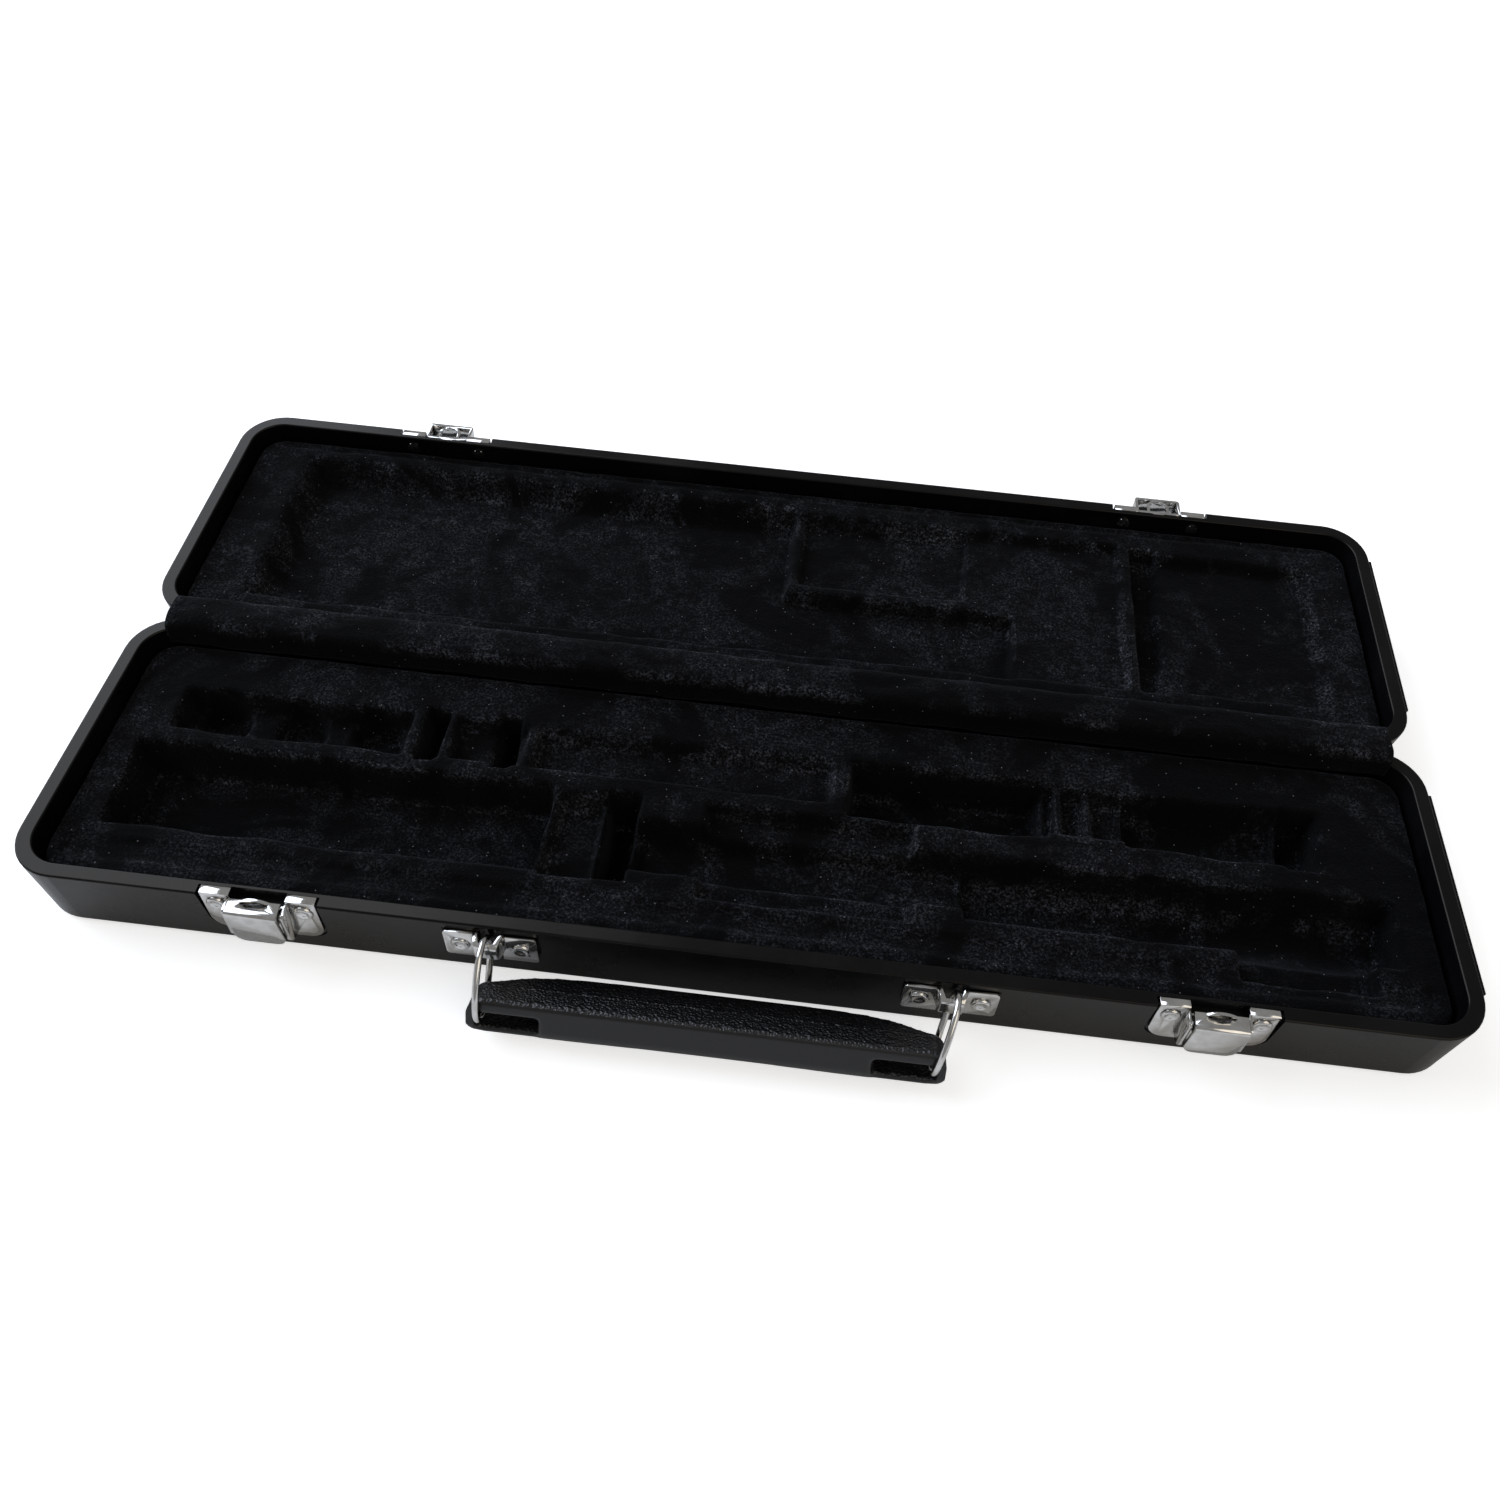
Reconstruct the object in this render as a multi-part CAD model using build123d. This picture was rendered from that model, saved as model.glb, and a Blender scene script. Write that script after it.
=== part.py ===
from build123d import *
import os
from math import atan, cos, degrees, pi, radians, sin, sqrt, tan

# A flute case, lying open on a table as a player leaves it. Millimetres, +Z up. The origin is the
# middle of the base's underside. X runs along the case, the latches face -Y, and the lid is folded
# back to +Y. Left and right are as seen from the latch side.

# ---- shells ----
case_length = 400.0
case_width = 96.8
corner_radius = 14.4
base_height = 26.4
wall_at_rim = 4.5
wall_inset = 1.9            # how far the outer wall leans in from the rim to the underside
bottom_thickness = 2.6
bottom_edge_radius = 3.0
rim_edge_radius = 0.6
seam_gap = 0.3              # between the two rims when the lid is shut
rest_tilt = 2.0             # degrees that the open lid stays short of lying flat
end_panel_half = 33.0
end_panel_proud = 0.8
end_panel_foot = 5.0

# ---- liners ----
liner_clearance = 0.8
liner_below_rim = 5.5
liner_edge_radius = 1.6
pocket_corner = 3.0

# ---- flute channels in the base, measured from the middle of the case and down from the rim ----
body_left = -184.0
body_right = -57.0
body_front = -26.0
body_back = 4.5
body_depth = 20.0
body_round = 6.0
joint_right = -33.0
joint_depth = 22.5
shelf_right = 62.0
shelf_front = -22.0
shelf_back = -3.5
shelf_depth = 15.5
trill_left = -14.0
trill_right = 48.0
trill_front = -28.5
trill_depth = 10.5
head_right = 184.0
head_axis_y = -14.6
head_radius = 10.4
head_axis_depth = 9.6
finger_left = 137.0
finger_right = 177.0
finger_front = -34.5
finger_depth = 14.0
foot_left = -178.0
foot_right = -106.5
foot_front = 9.5
foot_back = 26.0
foot_depth = 13.0
foot_cup_radius = 8.6
foot_cup_depth = 18.0
foot_cup_spacing = 24.0
foot_cup_count = 3
slot_left = -103.5
slot_width = 7.0
slot_spacing = 22.5
slot_count = 2
slot_depth = 21.0
pad_left = -69.0
pad_right = 22.5
pad_depth = 10.5
lip_left = 27.0
lip_right = 86.0
lip_depth = 21.0
rib_channel_right = 109.5
rib_channel_depth = 12.5
rib_thickness = 2.2
rib_inset = 8.5
rib_height = 5.0
rib_count = 2
tenon_left = 113.0
tenon_right = 156.0
tenon_radius = 9.6
tenon_axis_depth = 8.6
cap_right = 166.5
cap_radius = 10.6
row_axis_y = 15.0

# ---- recesses in the lid, from the hinge edge of the rim ----
lid_recess_left = -170.0
lid_recess_near = 16.0
lid_recess_far = 79.5
lid_recess_depth = 14.0
lid_floor_right = 78.0
lid_floor_far = 45.5
lid_pad_left = 6.0
lid_pad_right = 62.0
lid_pad_near = 49.5
lid_pad_depth = 9.0
lid_shelf_depth = 4.0
lid_divider_left = 114.5
lid_divider_right = 118.0
lid_slot_right = 127.5
lid_slot_depth = 13.0
lid_end_right = 181.0
lid_end_depth = 8.5
lid_groove_radius = 9.0

# ---- hinges ----
hinge_gap = 2.4             # between the rear rims when the lid is open
hinge_x = 118.0
hinge_length = 44.0
hinge_knuckles = 5
knuckle_gap = 0.25
leaf_thickness = 0.9
leaf_height = 12.0
hinge_pin_radius = 1.0
hinge_bore_clearance = 0.05
hinge_recess = 1.0
hinge_rivet_spacing = 28.0
hinge_rivet_drop = 7.8

# ---- flap over the hinges ----
flap_half_length = 188.0
flap_thickness = 1.2
flap_clearance = 0.4
flap_above_liner = 0.7
flap_shoulder_low = 0.4
flap_shoulder_run = 1.6
flap_bend_radius = 1.4

# ---- latches on the base and keepers on the lid ----
latch_x = 128.5
latch_plate_width = 31.5
latch_plate_height = 17.0
latch_plate_thickness = 1.0
latch_corner_radius = 5.0
latch_recess = 1.6
latch_recess_margin = 0.8
latch_flange = 2.4
flange_clearance = 0.1      # behind the flange on the rim
flange_seat = 0.05          # under the flange on the rim
latch_notch_half = 7.7
latch_notch_drop = 3.6
latch_notch_depth = 3.4
ear_gap = 0.35
ear_thickness = 1.0
ear_reach = 3.9
ear_drop = 14.6
ear_top_drop = 1.1
ear_corner_radius = 3.12
ear_tip_radius = 1.0
latch_pin_radius = 0.9
latch_pin_clearance = 0.05
latch_pin_reach = 2.4       # pivot in front of the rim's edge
latch_pin_drop = 2.3        # pivot below the rim
lever_half_width = 7.0
lever_reach = 5.2
lever_height = 14.5
lever_lean = 0.8
lever_thickness = 1.0
lever_corner_radius = 3.2
lever_bend_radius = 1.2
lever_rear = 0.2
lip_half_width = 5.2
lip_rise = 1.2
lip_thickness = 0.9
lens_half_width = 4.0
lens_depth = 1.7
cheek_drop = 4.3
latch_rivet_spacing = 24.0
latch_rivet_drop = 4.6
spring_half_width = 2.4
spring_thickness = 0.3
spring_leg = 9.0
spring_straight = 2.7       # how far the leg drops before it leans back to the plate
keeper_height = 9.5
keeper_corner_radius = 3.0
keeper_thickness = 1.0
keeper_strap_half = 7.9
keeper_strap_reach = 6.0
keeper_strap_height = 6.0
keeper_setback = 1.3
arch_half_width = 3.9
arch_strip = 1.0

# ---- handle ----
handle_shift = -3.4         # the brackets sit a little left of the middle
bracket_x = 62.1            # each bracket from the middle of the pair
bracket_width = 25.5
bracket_height = 11.6
bracket_top = 3.0           # below the rim
bracket_thickness = 1.3
bracket_seat = 0.5          # depth of the flat seat in the leaning wall, at the rim
lug_mouth_half = 4.3
lug_nose_half = 3.0
lug_reach = 5.1
lug_height = 7.2
lug_root = 0.2              # how far the lug starts behind the face of the wings
lug_nose_round = 2.016
lug_wall_at_nose = 1.04
bracket_rivet_spacing = 16.6
bracket_rivet_drop = 5.6
ring_wire_radius = 0.9
ring_end_radius = 5.9
ring_half_width = 6.8
ring_centres = 10.4
ring_wall_gap = 0.35
ring_axis_drop = 5.2
ring_swing = 40.0           # degrees out from hanging straight down, as the ring rests
right_ring_lean = 11.0      # degrees that the right ring leans in towards the grip
grip_hang = 26.0            # degrees from upright, as the grip rests in its rings
grip_left = 64.6            # end of the grip from its own middle
grip_shift = -1.45          # the grip lies this far left of the middle of its brackets
grip_height = 12.4
grip_waist = 2.0            # how far the palm side is hollowed at the middle
grip_front_thickness = 4.5  # from the rings' plane to the smooth face
grip_back_profile = [(0.0, 10.5), (30.0, 9.9), (44.0, 8.8), (52.0, 7.2), (58.0, 5.0), (grip_left, 4.5)]
grip_end_radius = 4.5
grip_edge_radius = 1.4
grip_palm_radius = 4.5
slot_from_middle = 53.6
slot_length = 17.4
slot_height = 5.4
slot_corner_radius = 1.3
slot_edge_radius = 1.2
slot_from_ring_centre = 4.7
slot_wall_to_face = 4.3     # from the slot down to the stippled face

# ---- rivets ----
rivet_head_radius = 2.5
rivet_head_height = 0.8
rivet_shank_radius = 1.4
rivet_hole_clearance = 0.05
rivet_tail_radius = 2.2
rivet_tail_height = 0.5

# ---- how far cuts run past the faces that they open ----
cut_over = 1.0
cut_out = 2.0

# ---- worked out from the sizes above ----
wall_slope = wall_inset / base_height
hinge_axis_y = case_width / 2 + hinge_gap / 2
hinge_axis_z = base_height + seam_gap / 2
knuckle_radius = hinge_gap / 2 + hinge_recess
front_y = -case_width / 2
latch_plate_front = front_y + latch_recess - latch_plate_thickness
ring_axis_y = front_y + wall_slope * ring_axis_drop - ring_wall_gap - ring_wire_radius - ring_end_radius
inner_front = front_y + wall_at_rim


def lid_depth():
    """Depth at which the open lid's rounded rear edge just meets the table."""
    tilt = radians(rest_tilt)
    out = (hinge_gap / 2 + wall_inset + bottom_edge_radius) * sin(tilt)
    centre_drop = (hinge_axis_z + out - bottom_edge_radius) / cos(tilt)
    return centre_drop + bottom_edge_radius - seam_gap / 2


lid_height = lid_depth()


def block(x, y, z):
    """A box from three (low, high) pairs."""
    size = (x[1] - x[0], y[1] - y[0], z[1] - z[0])
    middle = ((x[0] + x[1]) / 2, (y[0] + y[1]) / 2, (z[0] + z[1]) / 2)
    return Pos(*middle) * Box(*size)


def along_x(outline, low, high):
    """Extrude a closed (y, z) outline from x = low to x = high."""
    face = make_face(Plane.YZ * Polyline(*outline, close=True))
    return Pos(low, 0, 0) * extrude(face, amount=high - low, dir=(1, 0, 0))


def round_x(radius, low, high, y, z):
    """A round bar along X."""
    return Pos((low + high) / 2, y, z) * Rot(0, 90, 0) * Cylinder(radius, high - low)


def panel_y(outline_face, low, high):
    """Extrude a face drawn in the XZ plane from y = low to y = high."""
    return Pos(0, low, 0) * extrude(outline_face, amount=high - low, dir=(0, 1, 0))


def wing_face(half_width, top, bottom, corner):
    """A plate seen from the front: square at the top, rounded at its lower corners."""
    height = top - bottom
    plate = Pos(0, (top + bottom) / 2) * Rectangle(2 * half_width, height)
    lower = plate.vertices().group_by(Axis.Y)[0]
    return Plane.XZ * fillet(lower, corner)


# ---------------------------------------------------------------- shells

def shell(depth):
    """A drafted tray, rim at z = 0, with its hinge wall at +Y and latch wall at -Y."""
    slope = degrees(atan(wall_inset / depth))
    outer = extrude(RectangleRounded(case_length, case_width, corner_radius), amount=-depth, taper=slope)
    outer = fillet(outer.faces().sort_by(Axis.Z)[0].edges(), bottom_edge_radius)
    hollow_size = (case_length - 2 * wall_at_rim, case_width - 2 * wall_at_rim)
    hollow = extrude(
        RectangleRounded(*hollow_size, corner_radius - wall_at_rim), amount=-(depth - bottom_thickness)
    )
    tray = outer - hollow
    tray = fillet(tray.faces().sort_by(Axis.Z)[-1].edges(), rim_edge_radius)
    tray += end_panel(depth)
    for side in (-1, 1):
        tray -= Pos(side * hinge_x, 0, 0) * hinge_recess_cut()
        for rivet in (-1, 1):
            tray -= hinge_rivet_hole(side * hinge_x + rivet * hinge_rivet_spacing / 2)
    return tray


def end_panel(depth):
    """The shallow raised panel on the right end wall."""
    foot = -(depth - end_panel_foot)
    outer_x = case_length / 2 + end_panel_proud
    lean = wall_inset / depth
    root = case_length / 2 - wall_at_rim / 2
    top = -rim_edge_radius
    outline = [(root, top), (outer_x, top), (outer_x + lean * foot, foot), (root, foot)]
    face = make_face(Plane.XZ * Polyline(*outline, close=True))
    return Pos(0, -end_panel_half, 0) * extrude(face, amount=2 * end_panel_half, dir=(0, 1, 0))


def hinge_recess_cut():
    """Upright seat for a hinge leaf in the leaning hinge wall."""
    half = hinge_length / 2 + knuckle_gap
    face = wing_face(half, 1.0, -leaf_height - knuckle_gap, 1.0)
    return panel_y(face, case_width / 2 - hinge_recess, case_width / 2 + hinge_gap)


def hinge_rivet_hole(x):
    """Hole through the hinge wall for one rivet."""
    radius = rivet_shank_radius + rivet_hole_clearance
    reach = wall_at_rim + hinge_gap
    return Pos(x, case_width / 2, -hinge_rivet_drop) * Rot(90, 0, 0) * Cylinder(radius, 2 * reach)


def front_holes(x, spacing, drop):
    """A pair of rivet holes through the latch wall."""
    radius = rivet_shank_radius + rivet_hole_clearance
    pair = [Pos(x + s * spacing / 2, front_y, -drop) * Rot(90, 0, 0) for s in (-1, 1)]
    return [place * Cylinder(radius, 4 * wall_at_rim) for place in pair]


def latch_seat(height, drop, flange):
    """Cuts in the latch wall for a plate, the flange on the rim and the notch behind the lever."""
    half = latch_plate_width / 2 + latch_recess_margin
    plate = panel_y(
        wing_face(half, cut_over, -height - latch_recess_margin, latch_corner_radius),
        front_y - cut_out,
        front_y + latch_recess,
    )
    top = block(
        (-half, half),
        (front_y - cut_over, latch_plate_front + flange + flange_clearance),
        (-latch_plate_thickness - flange_seat, cut_over),
    )
    notch = block(
        (-latch_notch_half, latch_notch_half),
        (front_y, front_y + latch_notch_depth),
        (-drop, cut_over),
    )
    return [plate, top, notch]


def base_shell():
    tray = shell(base_height)
    for side in (-1, 1):
        for cut in latch_seat(latch_plate_height, latch_notch_drop, latch_flange):
            tray -= Pos(side * latch_x, 0, 0) * cut
        for hole in front_holes(side * latch_x, latch_rivet_spacing, latch_rivet_drop):
            tray -= hole
        middle = handle_shift + side * bracket_x
        tray -= bracket_seat_cut(middle)
        for hole in front_holes(middle, bracket_rivet_spacing, bracket_top + bracket_rivet_drop):
            tray -= hole
    return tray


def lid_shell():
    tray = shell(lid_height)
    for side in (-1, 1):
        for cut in latch_seat(keeper_height, keeper_setback + latch_notch_drop, latch_flange):
            tray -= Pos(side * latch_x, 0, 0) * cut
        for hole in front_holes(side * latch_x, latch_rivet_spacing, latch_rivet_drop):
            tray -= hole
    return tray


# ---------------------------------------------------------------- liners

def liner_blank(depth):
    """The moulded tray under the plush, as wide as the shell lets it be."""
    length = case_length - 2 * (wall_at_rim + liner_clearance)
    width = case_width - 2 * (wall_at_rim + liner_clearance)
    thickness = depth - bottom_thickness - liner_below_rim
    outline = RectangleRounded(length, width, corner_radius - wall_at_rim - liner_clearance)
    tray = Pos(0, 0, -liner_below_rim - thickness) * extrude(outline, amount=thickness)
    return fillet(tray.faces().sort_by(Axis.Z)[-1].edges(), liner_edge_radius)


def pocket(x, y, depth, corner=pocket_corner):
    """A straight-sided pocket with rounded corners, cut down from above the liner."""
    length = x[1] - x[0]
    width = y[1] - y[0]
    outline = RectangleRounded(length, width, min(corner, 0.45 * length, 0.45 * width))
    return Pos((x[0] + x[1]) / 2, (y[0] + y[1]) / 2, -depth) * extrude(outline, amount=depth)


def trough(x, y, radius, axis_depth):
    """A round-bottomed channel for a tube, open above its axis."""
    bar = round_x(radius, x[0], x[1], y, -axis_depth)
    mouth = block(x, (y - radius, y + radius), (-axis_depth, 0))
    return bar + mouth


def base_channels():
    """Everything that is hollowed out of the base liner."""
    front_row = (body_front, body_back)
    body = block((body_left, body_right + 1.0), front_row, (-body_depth, 0))
    body = fillet(body.edges().filter_by(Axis.X).group_by(Axis.Z)[0], body_round)
    cuts = [body, pocket((body_right, joint_right), front_row, joint_depth)]
    cuts.append(block((joint_right - 1.0, shelf_right), (shelf_front, shelf_back), (-shelf_depth, 0)))
    cuts.append(pocket((trill_left, trill_right), (trill_front, body_back), trill_depth))
    cuts.append(trough((shelf_right - 1.0, head_right), head_axis_y, head_radius, head_axis_depth))
    cuts.append(pocket((finger_left, finger_right), (finger_front, head_axis_y), finger_depth))
    back_row = (foot_front, foot_back)
    cuts.append(pocket((foot_left, foot_right), back_row, foot_depth))
    for i in range(foot_cup_count):
        x = foot_left + foot_cup_radius + 4.0 + i * foot_cup_spacing
        cuts.append(Pos(x, row_axis_y + 3.0, -foot_cup_depth / 2) * Cylinder(foot_cup_radius, foot_cup_depth))
    for i in range(slot_count):
        x = slot_left + i * slot_spacing
        cuts.append(pocket((x, x + slot_width), (foot_front - 1.0, foot_back + 2.0), slot_depth, 1.5))
    cuts.append(pocket((slot_left + slot_width + 2.5, pad_left - 2.0), back_row, pad_depth))
    cuts.append(pocket((pad_left, pad_right), back_row, pad_depth))
    cuts.append(pocket((lip_left, lip_right), (body_back + 1.0, foot_back), lip_depth))
    rib_row = (body_back + 2.5, foot_back - 1.0)
    cuts.append(pocket((lip_right - 1.0, rib_channel_right), rib_row, rib_channel_depth))
    cuts.append(trough((rib_channel_right - 1.0, tenon_right), row_axis_y, tenon_radius, tenon_axis_depth))
    cuts.append(trough((tenon_right - 1.0, cap_right), row_axis_y, cap_radius, tenon_axis_depth))
    return cuts


def base_liner():
    tray = liner_blank(base_height) - base_channels()
    for i in range(rib_count):
        x = lip_right + 3.0 + i * rib_inset
        low = -rib_channel_depth - 0.5
        span = (body_back + 2.0, foot_back - 0.5)
        tray += block((x, x + rib_thickness), span, (low, -rib_channel_depth + rib_height))
    return tray


def lid_cuts():
    """Everything that is hollowed out of the lid liner, in the lid's own frame (hinge at -Y)."""
    rear = -case_width / 2
    near = rear + lid_recess_near
    far = rear + lid_recess_far
    cuts = [pocket((lid_recess_left, 0.0), (near, far), lid_recess_depth)]
    cuts.append(pocket((-20.0, lid_floor_right), (near, rear + lid_floor_far), lid_recess_depth))
    cuts.append(pocket((-5.0, lid_divider_left), (near, far), lid_shelf_depth + liner_below_rim))
    pad = (rear + lid_pad_near, far)
    cuts.append(pocket((lid_pad_left, lid_pad_right), pad, lid_pad_depth + liner_below_rim))
    cuts.append(pocket((lid_divider_right, lid_slot_right), (near, far), lid_slot_depth, 2.0))
    cuts.append(pocket((lid_slot_right - 2.0, lid_end_right), (near, far), lid_end_depth + 2.0))
    x = lid_end_right - lid_groove_radius
    groove = Pos(x, (near + far) / 2, -liner_below_rim - lid_end_depth) * Rot(90, 0, 0)
    cuts.append(groove * Cylinder(lid_groove_radius * 0.6, far - near - 8.0))
    return cuts


def lid_liner():
    return liner_blank(lid_height) - lid_cuts()


# ---------------------------------------------------------------- rivets

def rivet(grip, head_y, x, z, outward):
    """Round-headed rivet through a wall; outward is -1 for the latch wall and 1 for the hinge wall."""
    arc_radius = (rivet_head_radius ** 2 + rivet_head_height ** 2) / (2 * rivet_head_height)
    dome = Pos(0, 0, rivet_head_height - arc_radius) * Sphere(arc_radius)
    dome &= Pos(0, 0, rivet_head_height / 2) * Cylinder(rivet_head_radius, rivet_head_height)
    shank = Pos(0, 0, -grip / 2) * Cylinder(rivet_shank_radius, grip + 0.02)
    tail = Pos(0, 0, -grip - rivet_tail_height / 2) * Cylinder(rivet_tail_radius, rivet_tail_height)
    body = dome + shank + tail
    return Pos(x, head_y, z) * Rot(-90 * outward, 0, 0) * body


def latch_rivets():
    """Rivets of the latch plates or keepers: head on the plate, tail inside the wall."""
    grip = inner_front - latch_plate_front
    places = [side * latch_x + s * latch_rivet_spacing / 2 for side in (-1, 1) for s in (-1, 1)]
    return [rivet(grip, latch_plate_front, x, -latch_rivet_drop, -1) for x in places]


def bracket_rivets():
    grip = inner_front - bracket_front()
    drop = bracket_top + bracket_rivet_drop
    middles = [handle_shift + side * bracket_x for side in (-1, 1)]
    places = [m + s * bracket_rivet_spacing / 2 for m in middles for s in (-1, 1)]
    return [rivet(grip, bracket_front(), x, -drop, -1) for x in places]


def hinge_rivets():
    """Rivets of one row of hinge leaves, in the base's frame."""
    face = case_width / 2 - hinge_recess + leaf_thickness
    grip = face - (case_width / 2 - wall_at_rim)
    places = [side * hinge_x + s * hinge_rivet_spacing / 2 for side in (-1, 1) for s in (-1, 1)]
    return [rivet(grip, face, x, -hinge_rivet_drop, 1) for x in places]


# ---------------------------------------------------------------- latches

def latch_plate():
    """Stamped plate with a flange over the rim and two ears for the lever's pin."""
    half = latch_plate_width / 2
    back = front_y + latch_recess
    face = wing_face(half, 0, -latch_plate_height, latch_corner_radius)
    plate = panel_y(face, latch_plate_front, back)
    plate += block((-half, half), (latch_plate_front, latch_plate_front + latch_flange), (-latch_plate_thickness, 0))
    notch = (-latch_notch_half, latch_notch_half)
    plate -= block(notch, (latch_plate_front - 1.0, latch_plate_front + latch_flange + 1.0), (-latch_notch_drop, 1.0))
    for side in (-1, 1):
        plate += latch_ear(side)
        radius = rivet_shank_radius + rivet_hole_clearance
        hole = Pos(side * latch_rivet_spacing / 2, latch_plate_front, -latch_rivet_drop) * Rot(90, 0, 0)
        plate -= hole * Cylinder(radius, 3 * latch_plate_thickness)
    bore = round_x(latch_pin_radius, -half, half, front_y - latch_pin_reach, -latch_pin_drop)
    return plate - bore


def latch_ear(side):
    """An ear bent square out of the plate, its lower front corner rounded."""
    inner = lever_half_width + ear_gap
    outline = Rectangle(ear_reach + latch_recess - latch_plate_thickness, ear_drop - ear_top_drop)
    front = outline.vertices().group_by(Axis.X)[0]
    outline = fillet(front.sort_by(Axis.Y)[0], ear_corner_radius)
    outline = fillet(outline.vertices().group_by(Axis.X)[0].sort_by(Axis.Y)[-1:], ear_tip_radius)
    middle_y = (front_y - ear_reach + latch_plate_front) / 2
    face = Plane.YZ * Pos(middle_y, -(ear_top_drop + ear_drop) / 2) * outline
    low = inner if side > 0 else -inner - ear_thickness
    return Pos(low, 0, 0) * extrude(face, amount=ear_thickness, dir=(1, 0, 0))


def latch_pin():
    """Pin through both ears, flush with their outer faces."""
    reach = lever_half_width + ear_gap + ear_thickness
    return round_x(latch_pin_radius, -reach, reach, front_y - latch_pin_reach, -latch_pin_drop)


def latch_lever():
    """Finger tab: flat top with a raised rear lip, a hanging front and two cheeks round the pin."""
    outer = front_y - lever_reach
    rear = front_y - lever_rear
    foot = outer + lever_lean
    t = lever_thickness
    outline = [
        (rear, 0), (outer, 0), (foot, -lever_height), (foot + t, -lever_height), (outer + t, -t), (rear, -t),
    ]
    tab = along_x(outline, -lever_half_width, lever_half_width)
    bend = tab.edges().filter_by(Axis.X).sort_by(Axis.Y)
    top_bend = [e for e in bend if abs(e.center().Y - outer) < 0.01 and abs(e.center().Z) < 0.01]
    tab = fillet(top_bend, lever_bend_radius)
    lowest = [e for e in tab.edges() if e.center().Z < -lever_height + 0.01]
    corners = [e for e in lowest if abs(e.center().X) > lever_half_width - 0.01]
    tab = fillet(corners, lever_corner_radius)
    lip_arc = arc_through(lip_half_width, lip_rise + t)
    lip = panel_y(
        Plane.XZ * (Pos(0, lip_rise - lip_arc) * Circle(lip_arc)), rear - lip_thickness, rear
    )
    lip &= block((-lip_half_width, lip_half_width), (rear - lip_thickness, rear), (-t, lip_rise))
    lens_arc = arc_through(lens_half_width, lens_depth)
    lens = Pos(0, rear - lip_thickness - lens_depth + lens_arc, -t / 2) * Cylinder(lens_arc, 2 * t)
    lens &= block((-lens_half_width, lens_half_width), (outer, rear - lip_thickness), (-t, 0))
    tab = tab - lens + lip
    for side in (-1, 1):
        tab += cheek(side)
    bore = latch_pin_radius + latch_pin_clearance
    return tab - round_x(bore, -latch_plate_width, latch_plate_width, front_y - latch_pin_reach, -latch_pin_drop)


def arc_through(half_chord, rise):
    """Radius of the arc with this half chord and rise."""
    return (half_chord ** 2 + rise ** 2) / (2 * rise)


def cheek(side):
    """Side cheek under the top of the lever, which the pin passes through."""
    outer = front_y - lever_reach
    span = (outer + lever_thickness / 2, front_y - latch_pin_reach + 1.5)
    low = side * lever_half_width if side < 0 else lever_half_width - lever_thickness
    return block((low, low + lever_thickness), span, (-cheek_drop, -lever_thickness / 2))


def latch_spring():
    """Hairpin strip: a leg on the plate, a turn round the pin and a short leg under the lever's top."""
    pin_y = front_y - latch_pin_reach
    wrap = latch_pin_radius + 0.1
    leg_y = latch_plate_front - 0.02
    outer = wrap + spring_thickness
    turn = Circle(outer) - Circle(wrap)
    turn &= Pos(-outer, 0) * Rectangle(2 * outer, 4 * outer) + Pos(0, -outer) * Rectangle(4 * outer, 2 * outer)
    strip = Plane.YZ * Pos(pin_y, -latch_pin_drop) * turn
    coil = Pos(-spring_half_width, 0, 0) * extrude(strip, amount=2 * spring_half_width, dir=(1, 0, 0))
    half = (-spring_half_width, spring_half_width)
    bend_z = -latch_pin_drop - spring_straight
    foot_z = -latch_pin_drop - spring_leg
    leg = block(half, (pin_y + wrap, pin_y + outer), (bend_z, -latch_pin_drop))
    start_z = bend_z + spring_thickness
    outline = [
        (pin_y + wrap, start_z),
        (pin_y + outer, start_z),
        (leg_y, foot_z),
        (leg_y - spring_thickness, foot_z),
    ]
    foot = along_x(outline, *half)
    return coil + leg + foot


def keeper():
    """Plate on the lid with a box strap and the arch that the lever's lip comes up behind."""
    half = latch_plate_width / 2
    back = front_y + latch_recess
    face = wing_face(half, 0, -keeper_height, keeper_corner_radius)
    plate = panel_y(face, latch_plate_front, back)
    plate += block((-half, half), (latch_plate_front, latch_plate_front + latch_flange), (-keeper_thickness, 0))
    notch = (-latch_notch_half, latch_notch_half)
    low = -keeper_setback - 0.001
    plate -= block(notch, (latch_plate_front - 1.0, latch_plate_front + latch_flange + 1.0), (low, 1.0))
    outer = front_y - keeper_strap_reach
    z = (-keeper_setback - keeper_strap_height, -keeper_setback)
    strap = block((-keeper_strap_half, keeper_strap_half), (outer, latch_plate_front + 0.1), z)
    upright = strap.edges().filter_by(Axis.Z).group_by(Axis.Y)[0]
    strap = fillet(upright, keeper_thickness)
    inside = keeper_strap_half - keeper_thickness
    strap -= block((-inside, inside), (outer + keeper_thickness, latch_plate_front), (z[0] - 1, z[1] + 1))
    arch = arch_profile(arch_half_width, outer + keeper_thickness / 2) - arch_profile(
        arch_half_width - arch_strip, outer + keeper_thickness / 2 + arch_strip
    )
    arch = Pos(0, 0, -keeper_setback - keeper_thickness) * extrude(arch, amount=keeper_thickness)
    for side in (-1, 1):
        hole = Pos(side * latch_rivet_spacing / 2, latch_plate_front, -latch_rivet_drop) * Rot(90, 0, 0)
        plate -= hole * Cylinder(rivet_shank_radius + rivet_hole_clearance, 3 * keeper_thickness)
    return plate + strap + arch


def arch_profile(half, tip):
    """A round-ended tongue in plan, from the plate out to y = tip."""
    root = latch_plate_front + 0.1
    straight = Pos(0, (root + tip + half) / 2) * Rectangle(2 * half, root - tip - half)
    return straight + Pos(0, tip + half) * Circle(half)


# ---------------------------------------------------------------- hinges

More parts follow.
